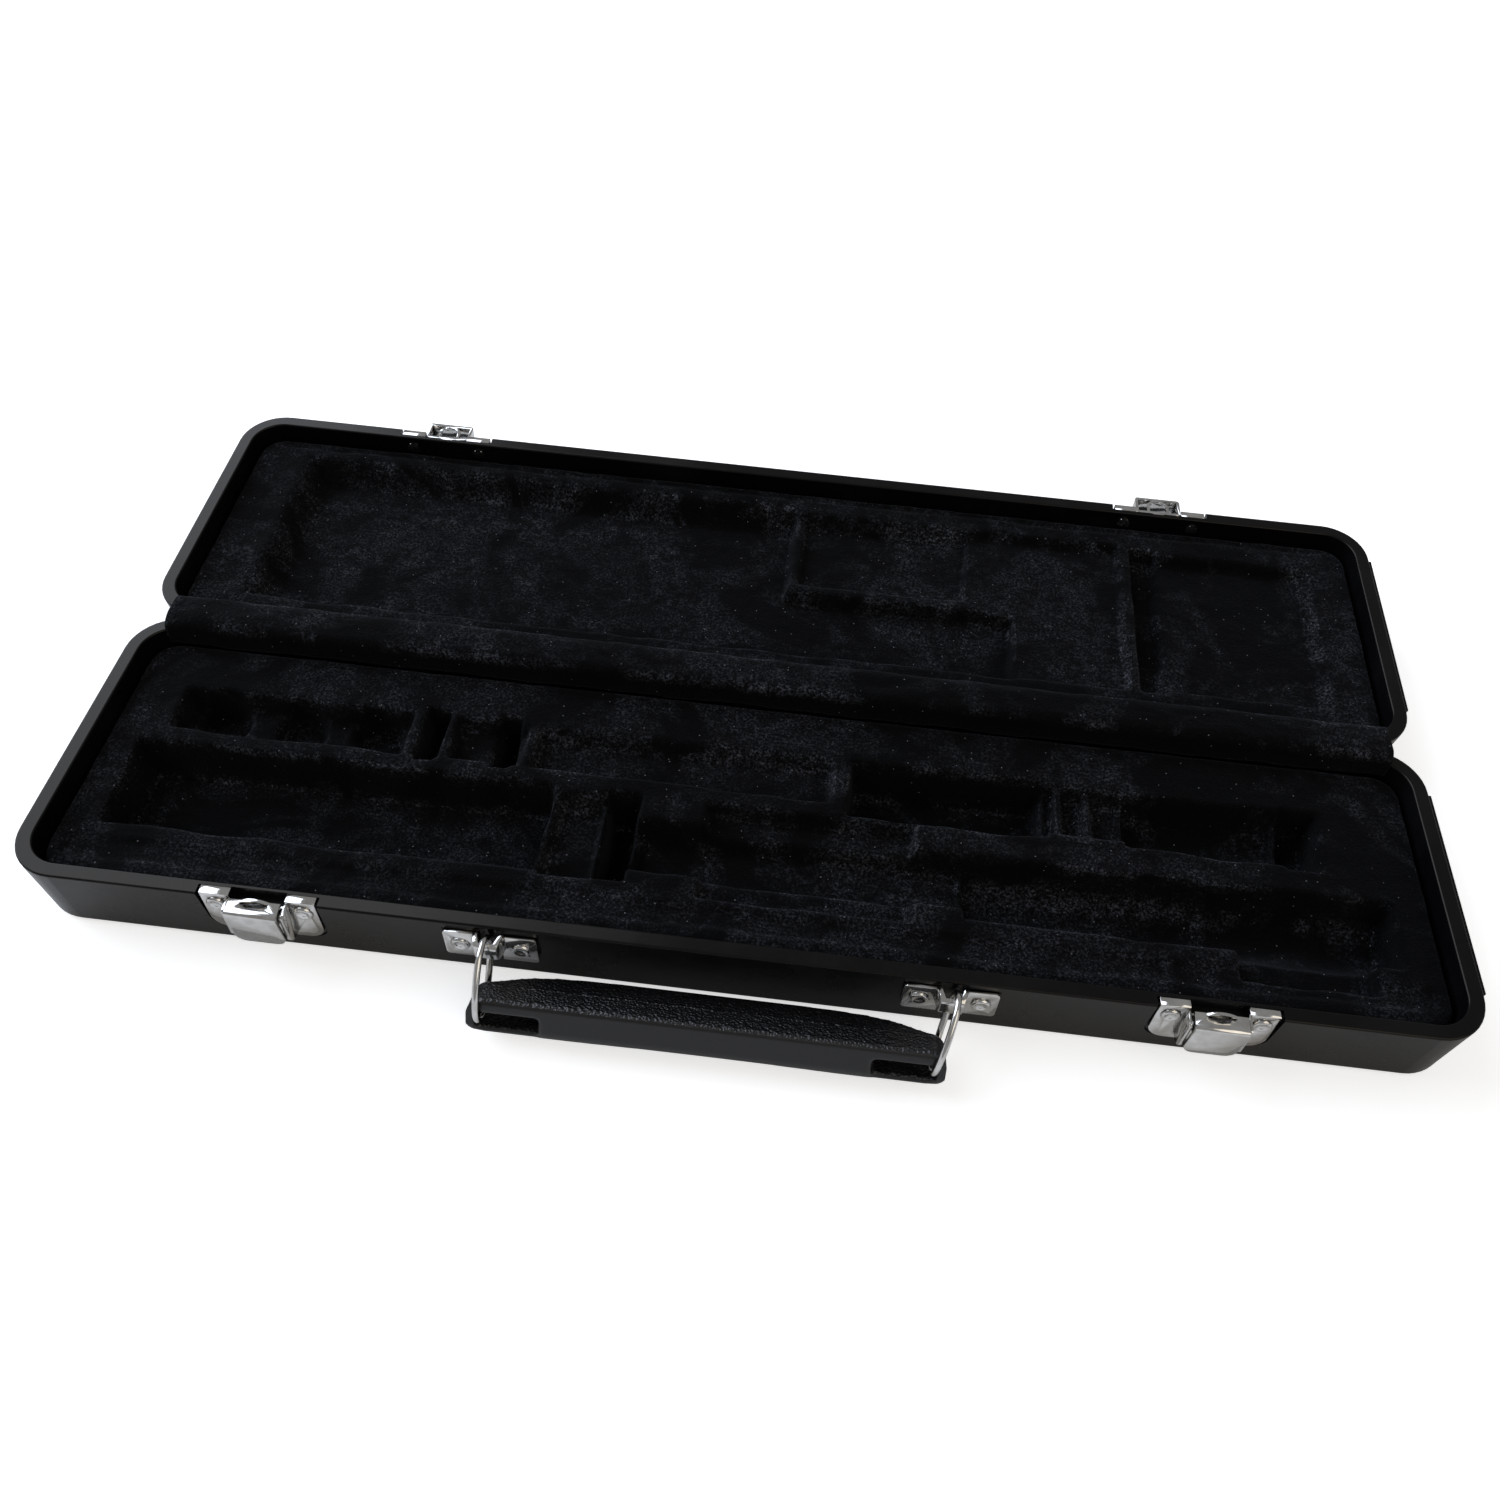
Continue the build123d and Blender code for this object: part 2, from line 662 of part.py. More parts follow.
def knuckle_spans():
    """The (low, high) of each knuckle along the hinge, from its left end."""
    pitch = hinge_length / hinge_knuckles
    start = -hinge_length / 2
    return [
        (start + i * pitch + knuckle_gap / 2, start + (i + 1) * pitch - knuckle_gap / 2)
        for i in range(hinge_knuckles)
    ]


def hinge_leaf(odd):
    """One leaf, in a frame whose origin is on the hinge axis and whose plate hangs down at -Y."""
    spans = [s for i, s in enumerate(knuckle_spans()) if i % 2 == odd]
    half = hinge_length / 2
    seat = -knuckle_radius
    top = -seam_gap / 2 - knuckle_radius - knuckle_gap
    foot = -leaf_height - seam_gap / 2
    face = wing_face(half, top, foot, 1.0)
    plate = panel_y(face, seat, seat + leaf_thickness)
    for low, high in spans:
        plate += round_x(knuckle_radius, low, high, 0, 0)
        plate += block((low, high), (seat, seat + leaf_thickness), (top - 0.01, 0))
    plate -= round_x(hinge_pin_radius + hinge_bore_clearance, -half - 1, half + 1, 0, 0)
    for side in (-1, 1):
        place = Pos(side * hinge_rivet_spacing / 2, seat, -hinge_rivet_drop - seam_gap / 2) * Rot(90, 0, 0)
        plate -= place * Cylinder(rivet_shank_radius + rivet_hole_clearance, 4 * leaf_thickness)
    return plate


def hinge_pin():
    half = hinge_length / 2
    return round_x(hinge_pin_radius, -half, half, 0, 0)


def hinge_flap():
    """Plush strip from the rear edge of one liner, over both rims and hinges, to the other."""
    crest = knuckle_radius + flap_clearance + flap_thickness / 2
    fall = hinge_gap / 2 + wall_at_rim + flap_clearance + flap_thickness / 2
    foot = -seam_gap / 2 - liner_below_rim + flap_above_liner
    side = [(fall, foot), (fall, flap_shoulder_low), (fall - flap_shoulder_run, crest)]
    path = [(-y, z) for y, z in side] + side[::-1]
    line = FilletPolyline(*path, radius=flap_bend_radius)
    strip = make_face(Plane.YZ * offset(line, flap_thickness / 2, side=Side.BOTH))
    return Pos(-flap_half_length, 0, 0) * extrude(strip, amount=2 * flap_half_length, dir=(1, 0, 0))


# ---------------------------------------------------------------- handle

def bracket_front():
    """Front face of a handle bracket's wings."""
    return front_y + bracket_seat - bracket_thickness


def bracket_seat_cut(x):
    """Upright seat for a bracket in the leaning wall."""
    half = bracket_width / 2 + 0.3
    z = (-bracket_top - bracket_height - 0.3, -bracket_top + 0.3)
    return block((x - half, x + half), (front_y - 2.0, front_y + bracket_seat), z)


def lug_profile():
    """The lug seen from above: it narrows from the wings to its nose."""
    root = bracket_front() + lug_root
    nose = front_y - lug_reach
    return [(-lug_mouth_half, root), (-lug_nose_half, nose), (lug_nose_half, nose), (lug_mouth_half, root)]


def handle_bracket():
    """Strap with two riveted wings and a hollow lug that the ring threads."""
    half = bracket_width / 2
    back = front_y + bracket_seat
    top = -bracket_top
    middle = top - bracket_height / 2
    wings = Pos(0, (bracket_front() + back) / 2, middle) * Box(bracket_width, back - bracket_front(), bracket_height)
    wings = fillet(wings.edges().filter_by(Axis.Y), 1.2)
    outer = make_face(Polyline(*lug_profile(), close=True))
    nose = front_y - lug_reach + bracket_thickness
    tunnel_half = lug_mouth_half - bracket_thickness
    tip_half = lug_nose_half - lug_wall_at_nose
    right = [(tip_half, nose), (tunnel_half, bracket_front()), (tunnel_half, back + cut_over)]
    left = [(-x, y) for x, y in right[::-1]]
    inner = make_face(Polyline(*left, *right, close=True))
    z = -ring_axis_drop - lug_height / 2
    lug = Pos(0, 0, z) * extrude(outer, amount=lug_height)
    lug = fillet(lug.edges().group_by(Axis.Y)[0].filter_by(Axis.X), lug_nose_round)
    tunnel = Pos(0, 0, -2 * bracket_height) * extrude(inner, amount=3 * bracket_height)
    bracket = wings + lug - tunnel
    for side in (-1, 1):
        hole = Pos(side * bracket_rivet_spacing / 2, front_y, top - bracket_rivet_drop) * Rot(90, 0, 0)
        bracket -= hole * Cylinder(rivet_shank_radius + rivet_hole_clearance, 4 * bracket_thickness)
    return bracket


def handle_ring():
    """Closed wire oval: the upper end centre at the origin, the lower end centre below it."""
    bulge = ring_half_width - ring_end_radius
    half = ring_centres / 2
    offset_centre = (half ** 2 - bulge ** 2) / (2 * bulge)
    side_radius = offset_centre + ring_half_width
    sweep_angle = degrees(atan(half / offset_centre))
    end_span = 180 - 2 * sweep_angle
    arcs = [
        CenterArc((0, half), ring_end_radius, sweep_angle, end_span),
        CenterArc((offset_centre, 0), side_radius, 180 - sweep_angle, 2 * sweep_angle),
        CenterArc((0, -half), ring_end_radius, 180 + sweep_angle, end_span),
        CenterArc((-offset_centre, 0), side_radius, -sweep_angle, 2 * sweep_angle),
    ]
    plane = Plane(origin=(0, 0, -half), x_dir=(0, 1, 0), z_dir=(1, 0, 0))
    bars = [ring_arc(plane, arc) for arc in arcs]
    ring = bars[0]
    for bar in bars[1:]:
        ring += bar
    return ring


def ring_arc(plane, arc):
    """One arc of the ring, swept with the round wire section."""
    path = plane * arc
    section = Plane(origin=path @ 0, z_dir=path % 0) * Circle(ring_wire_radius)
    return sweep(section, path=path)


def handle_grip():
    """Moulded grip, its slots' centre line through the origin. +Z is its stippled side."""
    top = slot_height / 2 + slot_wall_to_face
    foot = top - grip_height
    back = grip_back_profile[0][1]
    middle = (back - grip_front_thickness) / 2
    depth = back + grip_front_thickness
    side = Pos(0, (top + foot) / 2) * Rectangle(2 * grip_left, grip_height)
    side = fillet(side.vertices(), grip_end_radius)
    waist = arc_through(grip_left * 0.78, grip_waist)
    side -= Pos(0, foot + grip_waist - waist) * Circle(waist)
    body = panel_y(Plane.XZ * side, -grip_front_thickness - 1, back + 1)
    end_view = Pos(middle, (top + foot) / 2) * Rectangle(depth, grip_height)
    palm, face = end_view.vertices().group_by(Axis.Y)
    end_view = fillet(palm, grip_palm_radius)
    end_view = fillet(end_view.vertices().group_by(Axis.Y)[-1], grip_edge_radius)
    body &= Pos(-grip_left, 0, 0) * extrude(Plane.YZ * end_view, amount=2 * grip_left, dir=(1, 0, 0))
    body &= Pos(0, 0, foot - 1) * extrude(grip_plan(), amount=grip_height + 2)
    for end in (-1, 1):
        opening = RectangleRounded(slot_length, slot_height, slot_corner_radius)
        slot = Plane.XZ * Pos(end * slot_from_middle, 0) * opening
        body -= panel_y(slot, -grip_front_thickness - 1, back + 1)
    reach = slot_length / 2 + 0.01
    rims = [
        e for e in body.edges()
        if abs(e.center().Z) < slot_height / 2 + 0.01
        and abs(abs(e.center().X) - slot_from_middle) < reach
        and e.bounding_box().size.Y < 0.6 * grip_front_thickness
    ]
    return fillet(rims, slot_edge_radius)


def grip_plan():
    """The grip seen from its stippled side: straight in front, bowed at the back."""
    right = [(x, y) for x, y in grip_back_profile]
    left = [(-x, y) for x, y in right[:0:-1]]
    back = Spline(*(left + right))
    low = -grip_front_thickness
    rest = Polyline(back @ 1, (grip_left, low), (-grip_left, low), back @ 0)
    return make_face(back + rest)


# ---------------------------------------------------------------- placing and writing

on_base = Pos(0, 0, base_height)
hinge_line = Pos(0, hinge_axis_y, hinge_axis_z)
lid_tilt = Rot(rest_tilt, 0, 0)
lid_from_rim = Pos(0, case_width / 2 + hinge_gap / 2, -seam_gap / 2)


def on_lid(piece):
    """From a piece drawn like the base (hinge wall at +Y) to its place on the open lid."""
    return hinge_line * lid_tilt * lid_from_rim * mirror(piece, about=Plane.XZ)


def lid_frame(piece):
    """From a piece drawn in the lid's own frame (hinge wall at -Y) to its place."""
    return hinge_line * lid_tilt * lid_from_rim * piece


def ring_place(side):
    """Where a ring's upper end centre is, and how the ring hangs there."""
    x = handle_shift + side * bracket_x
    swing = Pos(x, ring_axis_y, base_height - ring_axis_drop) * Rot(-ring_swing, 0, 0)
    return swing * Rot(0, right_ring_lean if side > 0 else 0, 0)


def grip_place():
    """The grip hangs from the rings' lower ends, tipped back towards the wall."""
    swing = radians(ring_swing)
    y = ring_axis_y - ring_centres * sin(swing)
    z = base_height - ring_axis_drop - ring_centres * cos(swing)
    x = handle_shift + grip_shift
    return Pos(x, y, z) * Rot(-grip_hang, 0, 0) * Pos(0, 0, -slot_from_ring_centre)


def group(solids):
    """Separate solids kept together under one name."""
    return Compound(children=[s for s in solids])


def pieces():
    parts = {
        "base_shell": on_base * base_shell(),
        "base_liner": on_base * base_liner(),
        "lid_shell": on_lid(lid_shell()),
        "lid_liner": lid_frame(lid_liner()),
        "hinge_flap": hinge_line * Rot(rest_tilt / 2, 0, 0) * hinge_flap(),
        "latch_rivets": group([on_base * r for r in latch_rivets()]),
        "bracket_rivets": group([on_base * r for r in bracket_rivets()]),
        "keeper_rivets": group([on_lid(r) for r in latch_rivets()]),
        "hinge_base_rivets": group([on_base * r for r in hinge_rivets()]),
        "hinge_lid_rivets": group([on_lid(r) for r in hinge_rivets()]),
        "handle_grip": grip_place() * handle_grip(),
    }
    for side, name in ((-1, "left"), (1, "right")):
        latch = Pos(side * latch_x, 0, 0)
        parts["latch_plate_" + name] = on_base * latch * latch_plate()
        parts["latch_lever_" + name] = on_base * latch * latch_lever()
        parts["latch_pin_" + name] = on_base * latch * latch_pin()
        parts["latch_spring_" + name] = on_base * latch * latch_spring()
        parts["keeper_" + name] = on_lid(latch * keeper())
        middle = Pos(handle_shift + side * bracket_x, 0, 0)
        parts["handle_bracket_" + name] = on_base * middle * handle_bracket()
        parts["handle_ring_" + name] = ring_place(side) * handle_ring()
        hinge = hinge_line * Pos(side * hinge_x, 0, 0)
        parts["hinge_base_leaf_" + name] = hinge * hinge_leaf(0)
        parts["hinge_lid_leaf_" + name] = hinge * lid_tilt * mirror(hinge_leaf(1), about=Plane.XZ)
        parts["hinge_pin_" + name] = hinge * hinge_pin()
    return parts


if __name__ == "__main__":
    os.makedirs("parts", exist_ok=True)
    for node, shape in pieces().items():
        export_step(shape, f"parts/{node}.step")
        print(node, len(shape.solids()), round(shape.volume, 1))
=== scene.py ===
import math

import bmesh
import bpy
from mathutils import Matrix, Vector, noise


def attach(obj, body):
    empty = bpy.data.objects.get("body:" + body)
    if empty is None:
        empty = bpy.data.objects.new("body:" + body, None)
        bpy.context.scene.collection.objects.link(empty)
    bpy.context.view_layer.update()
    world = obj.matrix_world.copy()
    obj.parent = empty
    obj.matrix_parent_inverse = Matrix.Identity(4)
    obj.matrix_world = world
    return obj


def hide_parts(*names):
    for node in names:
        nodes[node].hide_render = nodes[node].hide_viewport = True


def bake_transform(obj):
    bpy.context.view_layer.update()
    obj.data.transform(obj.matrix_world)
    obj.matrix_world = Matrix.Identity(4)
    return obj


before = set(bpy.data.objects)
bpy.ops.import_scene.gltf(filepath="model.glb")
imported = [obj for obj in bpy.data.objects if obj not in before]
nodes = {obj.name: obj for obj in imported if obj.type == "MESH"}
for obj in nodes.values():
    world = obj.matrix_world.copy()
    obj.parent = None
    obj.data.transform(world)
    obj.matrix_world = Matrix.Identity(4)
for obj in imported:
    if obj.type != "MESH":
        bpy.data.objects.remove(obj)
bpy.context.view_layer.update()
mm = 0.001
print("frame loaded:", len(nodes), "nodes")


def linear(hexColour):  # sRGB hex to the linear colour that the shaders take
    channels = [int(hexColour[i:i + 2], 16) / 255 for i in (1, 3, 5)]
    return [c / 12.92 if c <= 0.04045 else ((c + 0.055) / 1.055) ** 2.4 for c in channels] + [1.0]


def addNode(tree, kind, settings=None, inputs=None):
    node = tree.nodes.new(kind)
    for name, value in (settings or {}).items():
        setattr(node, name, value)
    for name, value in (inputs or {}).items():
        if isinstance(value, bpy.types.NodeSocket):
            tree.links.new(value, node.inputs[name])
        else:
            node.inputs[name].default_value = value
    return node


def startMaterial(name, settings):
    material = bpy.data.materials.new(name)
    material.use_nodes = True
    tree = material.node_tree
    shader = tree.nodes["Principled BSDF"]
    for key, value in settings.items():
        shader.inputs[key].default_value = value
    place = addNode(tree, "ShaderNodeTexCoord").outputs["Object"]
    return material, tree, shader, place


def rampOf(tree, factor, stops):
    ramp = addNode(tree, "ShaderNodeValToRGB", inputs={"Fac": factor})
    band = ramp.color_ramp
    while len(band.elements) < len(stops):
        band.elements.new(0.5)
    for element, (position, colour) in zip(band.elements, stops):
        element.position = position
        element.color = colour
    return ramp.outputs["Color"]


def grey(value):
    return (value, value, value, 1.0)


def perMetre(sizeInMm):  # noise scale whose features are about this size
    return 1.0 / (sizeInMm * mm)


# moulded ABS, satin gloss: a soft broad highlight and a very fine moulded grain, with a few rubbed spots
absLook = {
    "colour": "#08080a", "worn": "#111113", "shine": "#fff6e6", "specular": 0.22,
    "roughness": 0.24, "glossier": 0.05, "duller": 0.09, "grain": 0.35, "smudge": 26.0, "depth": 0.02,
}


def mouldedAbs():
    material, tree, shader, place = startMaterial("mouldedAbs", {
        "IOR": 1.5, "Specular IOR Level": absLook["specular"], "Specular Tint": linear(absLook["shine"])})
    grain = addNode(tree, "ShaderNodeTexNoise", inputs={
        "Vector": place, "Scale": perMetre(absLook["grain"]), "Detail": 3.0, "Roughness": 0.6})
    smudge = addNode(tree, "ShaderNodeTexNoise", inputs={
        "Vector": place, "Scale": perMetre(absLook["smudge"]), "Detail": 5.0, "Roughness": 0.62})
    worn = rampOf(tree, smudge.outputs["Fac"], [
        (0.45, linear(absLook["colour"])), (0.75, linear(absLook["worn"]))])
    gloss = addNode(tree, "ShaderNodeMapRange", inputs={
        "Value": smudge.outputs["Fac"], "From Min": 0.3, "From Max": 0.7,
        "To Min": absLook["roughness"] - absLook["glossier"],
        "To Max": absLook["roughness"] + absLook["duller"]})
    bump = addNode(tree, "ShaderNodeBump", inputs={
        "Height": grain.outputs["Fac"], "Strength": 0.25, "Distance": absLook["depth"] * mm})
    tree.links.new(worn, shader.inputs["Base Color"])
    tree.links.new(gloss.outputs["Result"], shader.inputs["Roughness"])
    tree.links.new(bump.outputs["Normal"], shader.inputs["Normal"])
    return material


# nickel-plated steel, stamped and tumbled: bright, slightly warm, with soft dents and hairline scratches,
# and with painted shade: its colour is darkened in its corners and crevices by ambient occlusion
nickelLook = {
    "colour": "#e6e5e3", "dull": "#d3d1cd", "roughness": 0.12, "rougher": 0.06, "dent": 3.4, "depth": 0.02,
    "scratch": 0.25, "scratchDepth": 0.004, "crevice": 1.6,
}


def brightNickel():
    material, tree, shader, place = startMaterial("brightNickel", {"Metallic": 1.0})
    dents = addNode(tree, "ShaderNodeTexNoise", inputs={
        "Vector": place, "Scale": perMetre(nickelLook["dent"]), "Detail": 2.0, "Roughness": 0.5})
    turned = addNode(tree, "ShaderNodeMapping", inputs={
        "Vector": place, "Rotation": (0.5, 0.3, 0.6), "Scale": (0.06, 1.0, 0.5)})
    scratches = addNode(tree, "ShaderNodeTexNoise", inputs={
        "Vector": turned.outputs["Vector"], "Scale": perMetre(nickelLook["scratch"]),
        "Detail": 4.0, "Roughness": 0.7})
    tint = rampOf(tree, dents.outputs["Fac"], [
        (0.35, linear(nickelLook["dull"])), (0.62, linear(nickelLook["colour"]))])
    gloss = addNode(tree, "ShaderNodeMapRange", inputs={
        "Value": scratches.outputs["Fac"], "From Min": 0.35, "From Max": 0.75,
        "To Min": nickelLook["roughness"], "To Max": nickelLook["roughness"] + nickelLook["rougher"]})
    fine = addNode(tree, "ShaderNodeBump", inputs={
        "Height": scratches.outputs["Fac"], "Strength": 0.08, "Distance": nickelLook["scratchDepth"] * mm})
    bump = addNode(tree, "ShaderNodeBump", inputs={
        "Height": dents.outputs["Fac"], "Strength": 0.25, "Distance": nickelLook["depth"] * mm,
        "Normal": fine.outputs["Normal"]})
    # painted shade: ambient occlusion darkens the nickel's colour in corners, in crevices and round the
    # rivet heads
    crevice = addNode(tree, "ShaderNodeAmbientOcclusion", {"samples": 8, "only_local": False}, {
        "Distance": nickelLook["crevice"] * mm})
    paintedCreviceShade = rampOf(tree, crevice.outputs["AO"], [(0.35, grey(0.1)), (0.9, grey(1.0))])
    shaded = addNode(tree, "ShaderNodeMix", {"data_type": "RGBA", "blend_type": "MULTIPLY"}, {
        "Factor": 1.0, "A": tint, "B": paintedCreviceShade})
    tree.links.new(shaded.outputs["Result"], shader.inputs["Base Color"])
    tree.links.new(gloss.outputs["Result"], shader.inputs["Roughness"])
    tree.links.new(bump.outputs["Normal"], shader.inputs["Normal"])
    return material


# spring steel strip, bright drawn: greyer than the nickel and a little rougher
steelLook = {"colour": "#a6a7a8", "dull": "#8f9091", "line": 0.4, "roughness": 0.3}


def drawnSteel():
    material, tree, shader, place = startMaterial("drawnSteel", {
        "Metallic": 1.0, "Roughness": steelLook["roughness"]})
    lines = addNode(tree, "ShaderNodeTexNoise", inputs={
        "Vector": place, "Scale": perMetre(steelLook["line"]), "Detail": 3.0, "Roughness": 0.6})
    tint = rampOf(tree, lines.outputs["Fac"], [
        (0.4, linear(steelLook["dull"])), (0.65, linear(steelLook["colour"]))])
    tree.links.new(tint, shader.inputs["Base Color"])
    return material


# crushed plush, woven cotton with a cut pile: pressed pile is lighter, floors and slopes are painted
# bright and walls painted near black as painted light by the way they face, and lint shows as specks. The
# nap is drawn about twice as coarse as the real pile, so that it still reads
plushLook = {
    "pile": "#020202", "pressed": "#1b1c1f", "lint": "#66676c", "tuft": 0.8, "crush": 7.0, "patch": 30.0,
    "streak": 2.6, "speck": 3.2, "roughness": 0.95, "sheen": 0.06, "sheenTint": "#a8acb8",
    "depth": 0.45, "softDepth": 1.2,
}


def crushedPlush():
    material, tree, shader, place = startMaterial("crushedPlush", {
        "Roughness": plushLook["roughness"], "IOR": 1.46, "Specular IOR Level": 0.1,
        "Sheen Weight": plushLook["sheen"], "Sheen Roughness": 0.5,
        "Sheen Tint": linear(plushLook["sheenTint"])})
    tufts = addNode(tree, "ShaderNodeTexNoise", inputs={
        "Vector": place, "Scale": perMetre(plushLook["tuft"]), "Detail": 2.0, "Roughness": 0.8})
    crush = addNode(tree, "ShaderNodeTexNoise", inputs={
        "Vector": place, "Scale": perMetre(plushLook["crush"]), "Detail": 6.0, "Roughness": 0.62,
        "Distortion": 0.6})
    combed = addNode(tree, "ShaderNodeMapping", inputs={"Vector": place, "Scale": (0.6, 1.0, 1.0)})
    streak = addNode(tree, "ShaderNodeTexNoise", inputs={
        "Vector": combed.outputs["Vector"], "Scale": perMetre(plushLook["streak"]),
        "Detail": 5.0, "Roughness": 0.7})
    pressed = addNode(tree, "ShaderNodeMath", {"operation": "MULTIPLY"}, {
        0: crush.outputs["Fac"], 1: streak.outputs["Fac"]})
    # painted light: the plush's colour is made brighter on floors and slopes and near black on steep
    # walls, by the way the surface faces
    slope = addNode(tree, "ShaderNodeSeparateXYZ", inputs={
        "Vector": addNode(tree, "ShaderNodeNewGeometry").outputs["Normal"]})
    paintedFacingLight = rampOf(tree, slope.outputs["Z"], [
        (0.2, grey(0.05)), (0.6, grey(0.9)), (0.84, grey(1.0)), (0.97, grey(0.42))])
    nap = rampOf(tree, pressed.outputs["Value"], [
        (0.14, linear(plushLook["pile"])), (0.38, linear(plushLook["pressed"]))])
    # painted light and shade: large random patches scale the plush's brightness from 0.1 to 2.3 times
    patch = addNode(tree, "ShaderNodeTexNoise", inputs={
        "Vector": place, "Scale": perMetre(plushLook["patch"]), "Detail": 3.0, "Roughness": 0.6,
        "Distortion": 0.8})
    shade = addNode(tree, "ShaderNodeMapRange", inputs={
        "Value": patch.outputs["Fac"], "From Min": 0.43, "From Max": 0.58, "To Min": 0.1, "To Max": 2.3})
    turned = addNode(tree, "ShaderNodeMath", {"operation": "MULTIPLY"}, {
        0: paintedFacingLight, 1: shade.outputs["Result"]})
    lit = addNode(tree, "ShaderNodeMix", {"data_type": "RGBA", "blend_type": "MULTIPLY"}, {
        "Factor": 1.0, "A": nap, "B": turned.outputs["Value"]})
    tufted = rampOf(tree, tufts.outputs["Fac"], [(0.4, grey(0.08)), (0.52, grey(0.9)), (0.64, grey(4.0))])
    mottled = addNode(tree, "ShaderNodeMix", {"data_type": "RGBA", "blend_type": "MULTIPLY"}, {
        "Factor": 1.0, "A": lit.outputs["Result"], "B": tufted})
    specks = addNode(tree, "ShaderNodeTexVoronoi", {"feature": "F1"}, {
        "Vector": place, "Scale": perMetre(plushLook["speck"]), "Randomness": 1.0})
    lint = rampOf(tree, specks.outputs["Distance"], [(0.045, grey(1.0)), (0.075, grey(0.0))])
    speckled = addNode(tree, "ShaderNodeMix", {"data_type": "RGBA"}, {
        "Factor": lint, "A": mottled.outputs["Result"], "B": linear(plushLook["lint"])})
    soft = addNode(tree, "ShaderNodeBump", inputs={
        "Height": pressed.outputs["Value"], "Strength": 0.5, "Distance": plushLook["softDepth"] * mm})
    bump = addNode(tree, "ShaderNodeBump", inputs={
        "Height": tufts.outputs["Fac"], "Strength": 0.8, "Distance": plushLook["depth"] * mm,
        "Normal": soft.outputs["Normal"]})
    tree.links.new(speckled.outputs["Result"], shader.inputs["Base Color"])
    tree.links.new(bump.outputs["Normal"], shader.inputs["Normal"])
    return material


# soft PVC handle moulding: the upper face is stippled like leather
gripLook = {"colour": "#0b0b0c", "raised": "#19191b", "pebble": 0.75, "ruffle": 1.7,
            "roughness": 0.32, "depth": 0.34}


def stippledPvc():
    material, tree, shader, place = startMaterial("stippledPvc", {
        "IOR": 1.53, "Roughness": gripLook["roughness"]})
    pebbles = addNode(tree, "ShaderNodeTexVoronoi", {"feature": "SMOOTH_F1"}, {
        "Vector": place, "Scale": perMetre(gripLook["pebble"]), "Smoothness": 0.6})
    ruffle = addNode(tree, "ShaderNodeTexNoise", inputs={
        "Vector": place, "Scale": perMetre(gripLook["ruffle"]), "Detail": 4.0, "Roughness": 0.6})
    skin = addNode(tree, "ShaderNodeMath", {"operation": "ADD"}, {
        0: pebbles.outputs["Distance"], 1: ruffle.outputs["Fac"]})
    bump = addNode(tree, "ShaderNodeBump", inputs={
        "Height": skin.outputs["Value"], "Strength": 1.0, "Distance": gripLook["depth"] * mm})
    tone = rampOf(tree, ruffle.outputs["Fac"], [
        (0.35, linear(gripLook["colour"])), (0.7, linear(gripLook["raised"]))])
    tree.links.new(tone, shader.inputs["Base Color"])
    tree.links.new(bump.outputs["Normal"], shader.inputs["Normal"])
    return material


# the same moulding on its sides: plain from the mould, with a dull shine
gripSideLook = {"colour": "#0b0b0c", "raised": "#121214", "ruffle": 0.5, "roughness": 0.36, "depth": 0.02}


def smoothPvc():
    material, tree, shader, place = startMaterial("smoothPvc", {
        "IOR": 1.53, "Roughness": gripSideLook["roughness"]})
    ruffle = addNode(tree, "ShaderNodeTexNoise", inputs={
        "Vector": place, "Scale": perMetre(gripSideLook["ruffle"]), "Detail": 3.0, "Roughness": 0.6})
    tone = rampOf(tree, ruffle.outputs["Fac"], [
        (0.4, linear(gripSideLook["colour"])), (0.7, linear(gripSideLook["raised"]))])
    bump = addNode(tree, "ShaderNodeBump", inputs={
        "Height": ruffle.outputs["Fac"], "Strength": 0.2, "Distance": gripSideLook["depth"] * mm})
    tree.links.new(tone, shader.inputs["Base Color"])
    tree.links.new(bump.outputs["Normal"], shader.inputs["Normal"])
    return material


shellAbs = mouldedAbs()
nickelPlate = brightNickel()
springStrip = drawnSteel()
linerPlush = crushedPlush()
gripSkin = stippledPvc()
gripSides = smoothPvc()
print("materials made")


def coat(piece, material):
    piece.data.materials.clear()
    piece.data.materials.append(material)


for name, node in nodes.items():
    if name in ("base_shell", "lid_shell"):
        coat(node, shellAbs)
    elif "spring" in name:
        coat(node, springStrip)
    elif "liner" in name or "flap" in name:
        coat(node, linerPlush)
    elif name == "handle_grip":
        coat(node, gripSkin)
    else:
        coat(node, nickelPlate)
print("nodes dressed")

weldDistance = 0.002 * mm  # corners of the loose triangles that are closer than this become one


def mergedCopy(nodeName, pieceName):
    mesh = nodes[nodeName].data.copy()
    shape = bmesh.new()
    shape.from_mesh(mesh)
    bmesh.ops.remove_doubles(shape, verts=shape.verts, dist=weldDistance)
    shape.to_mesh(mesh)
    shape.free()
    mesh.name = pieceName
    piece = bpy.data.objects.new(pieceName, mesh)
    bpy.context.scene.collection.objects.link(piece)
    return piece


def newPiece(name, shape):
    mesh = bpy.data.meshes.new(name)
    shape.to_mesh(mesh)
    shape.free()
    piece = bpy.data.objects.new(name, mesh)
    bpy.context.scene.collection.objects.link(piece)
    return piece


def pieceNameOf(nodeName):
    first, *others = nodeName.split("_")
    return first + "".join(word.capitalize() for word in others)


def applyModifiers(piece):
    bpy.context.view_layer.update()
    evaluated = piece.evaluated_get(bpy.context.evaluated_depsgraph_get())
    mesh = bpy.data.meshes.new_from_object(evaluated)
    piece.modifiers.clear()
    piece.data = mesh


def smoothShade(piece):
    for face in piece.data.polygons:
        face.use_smooth = True


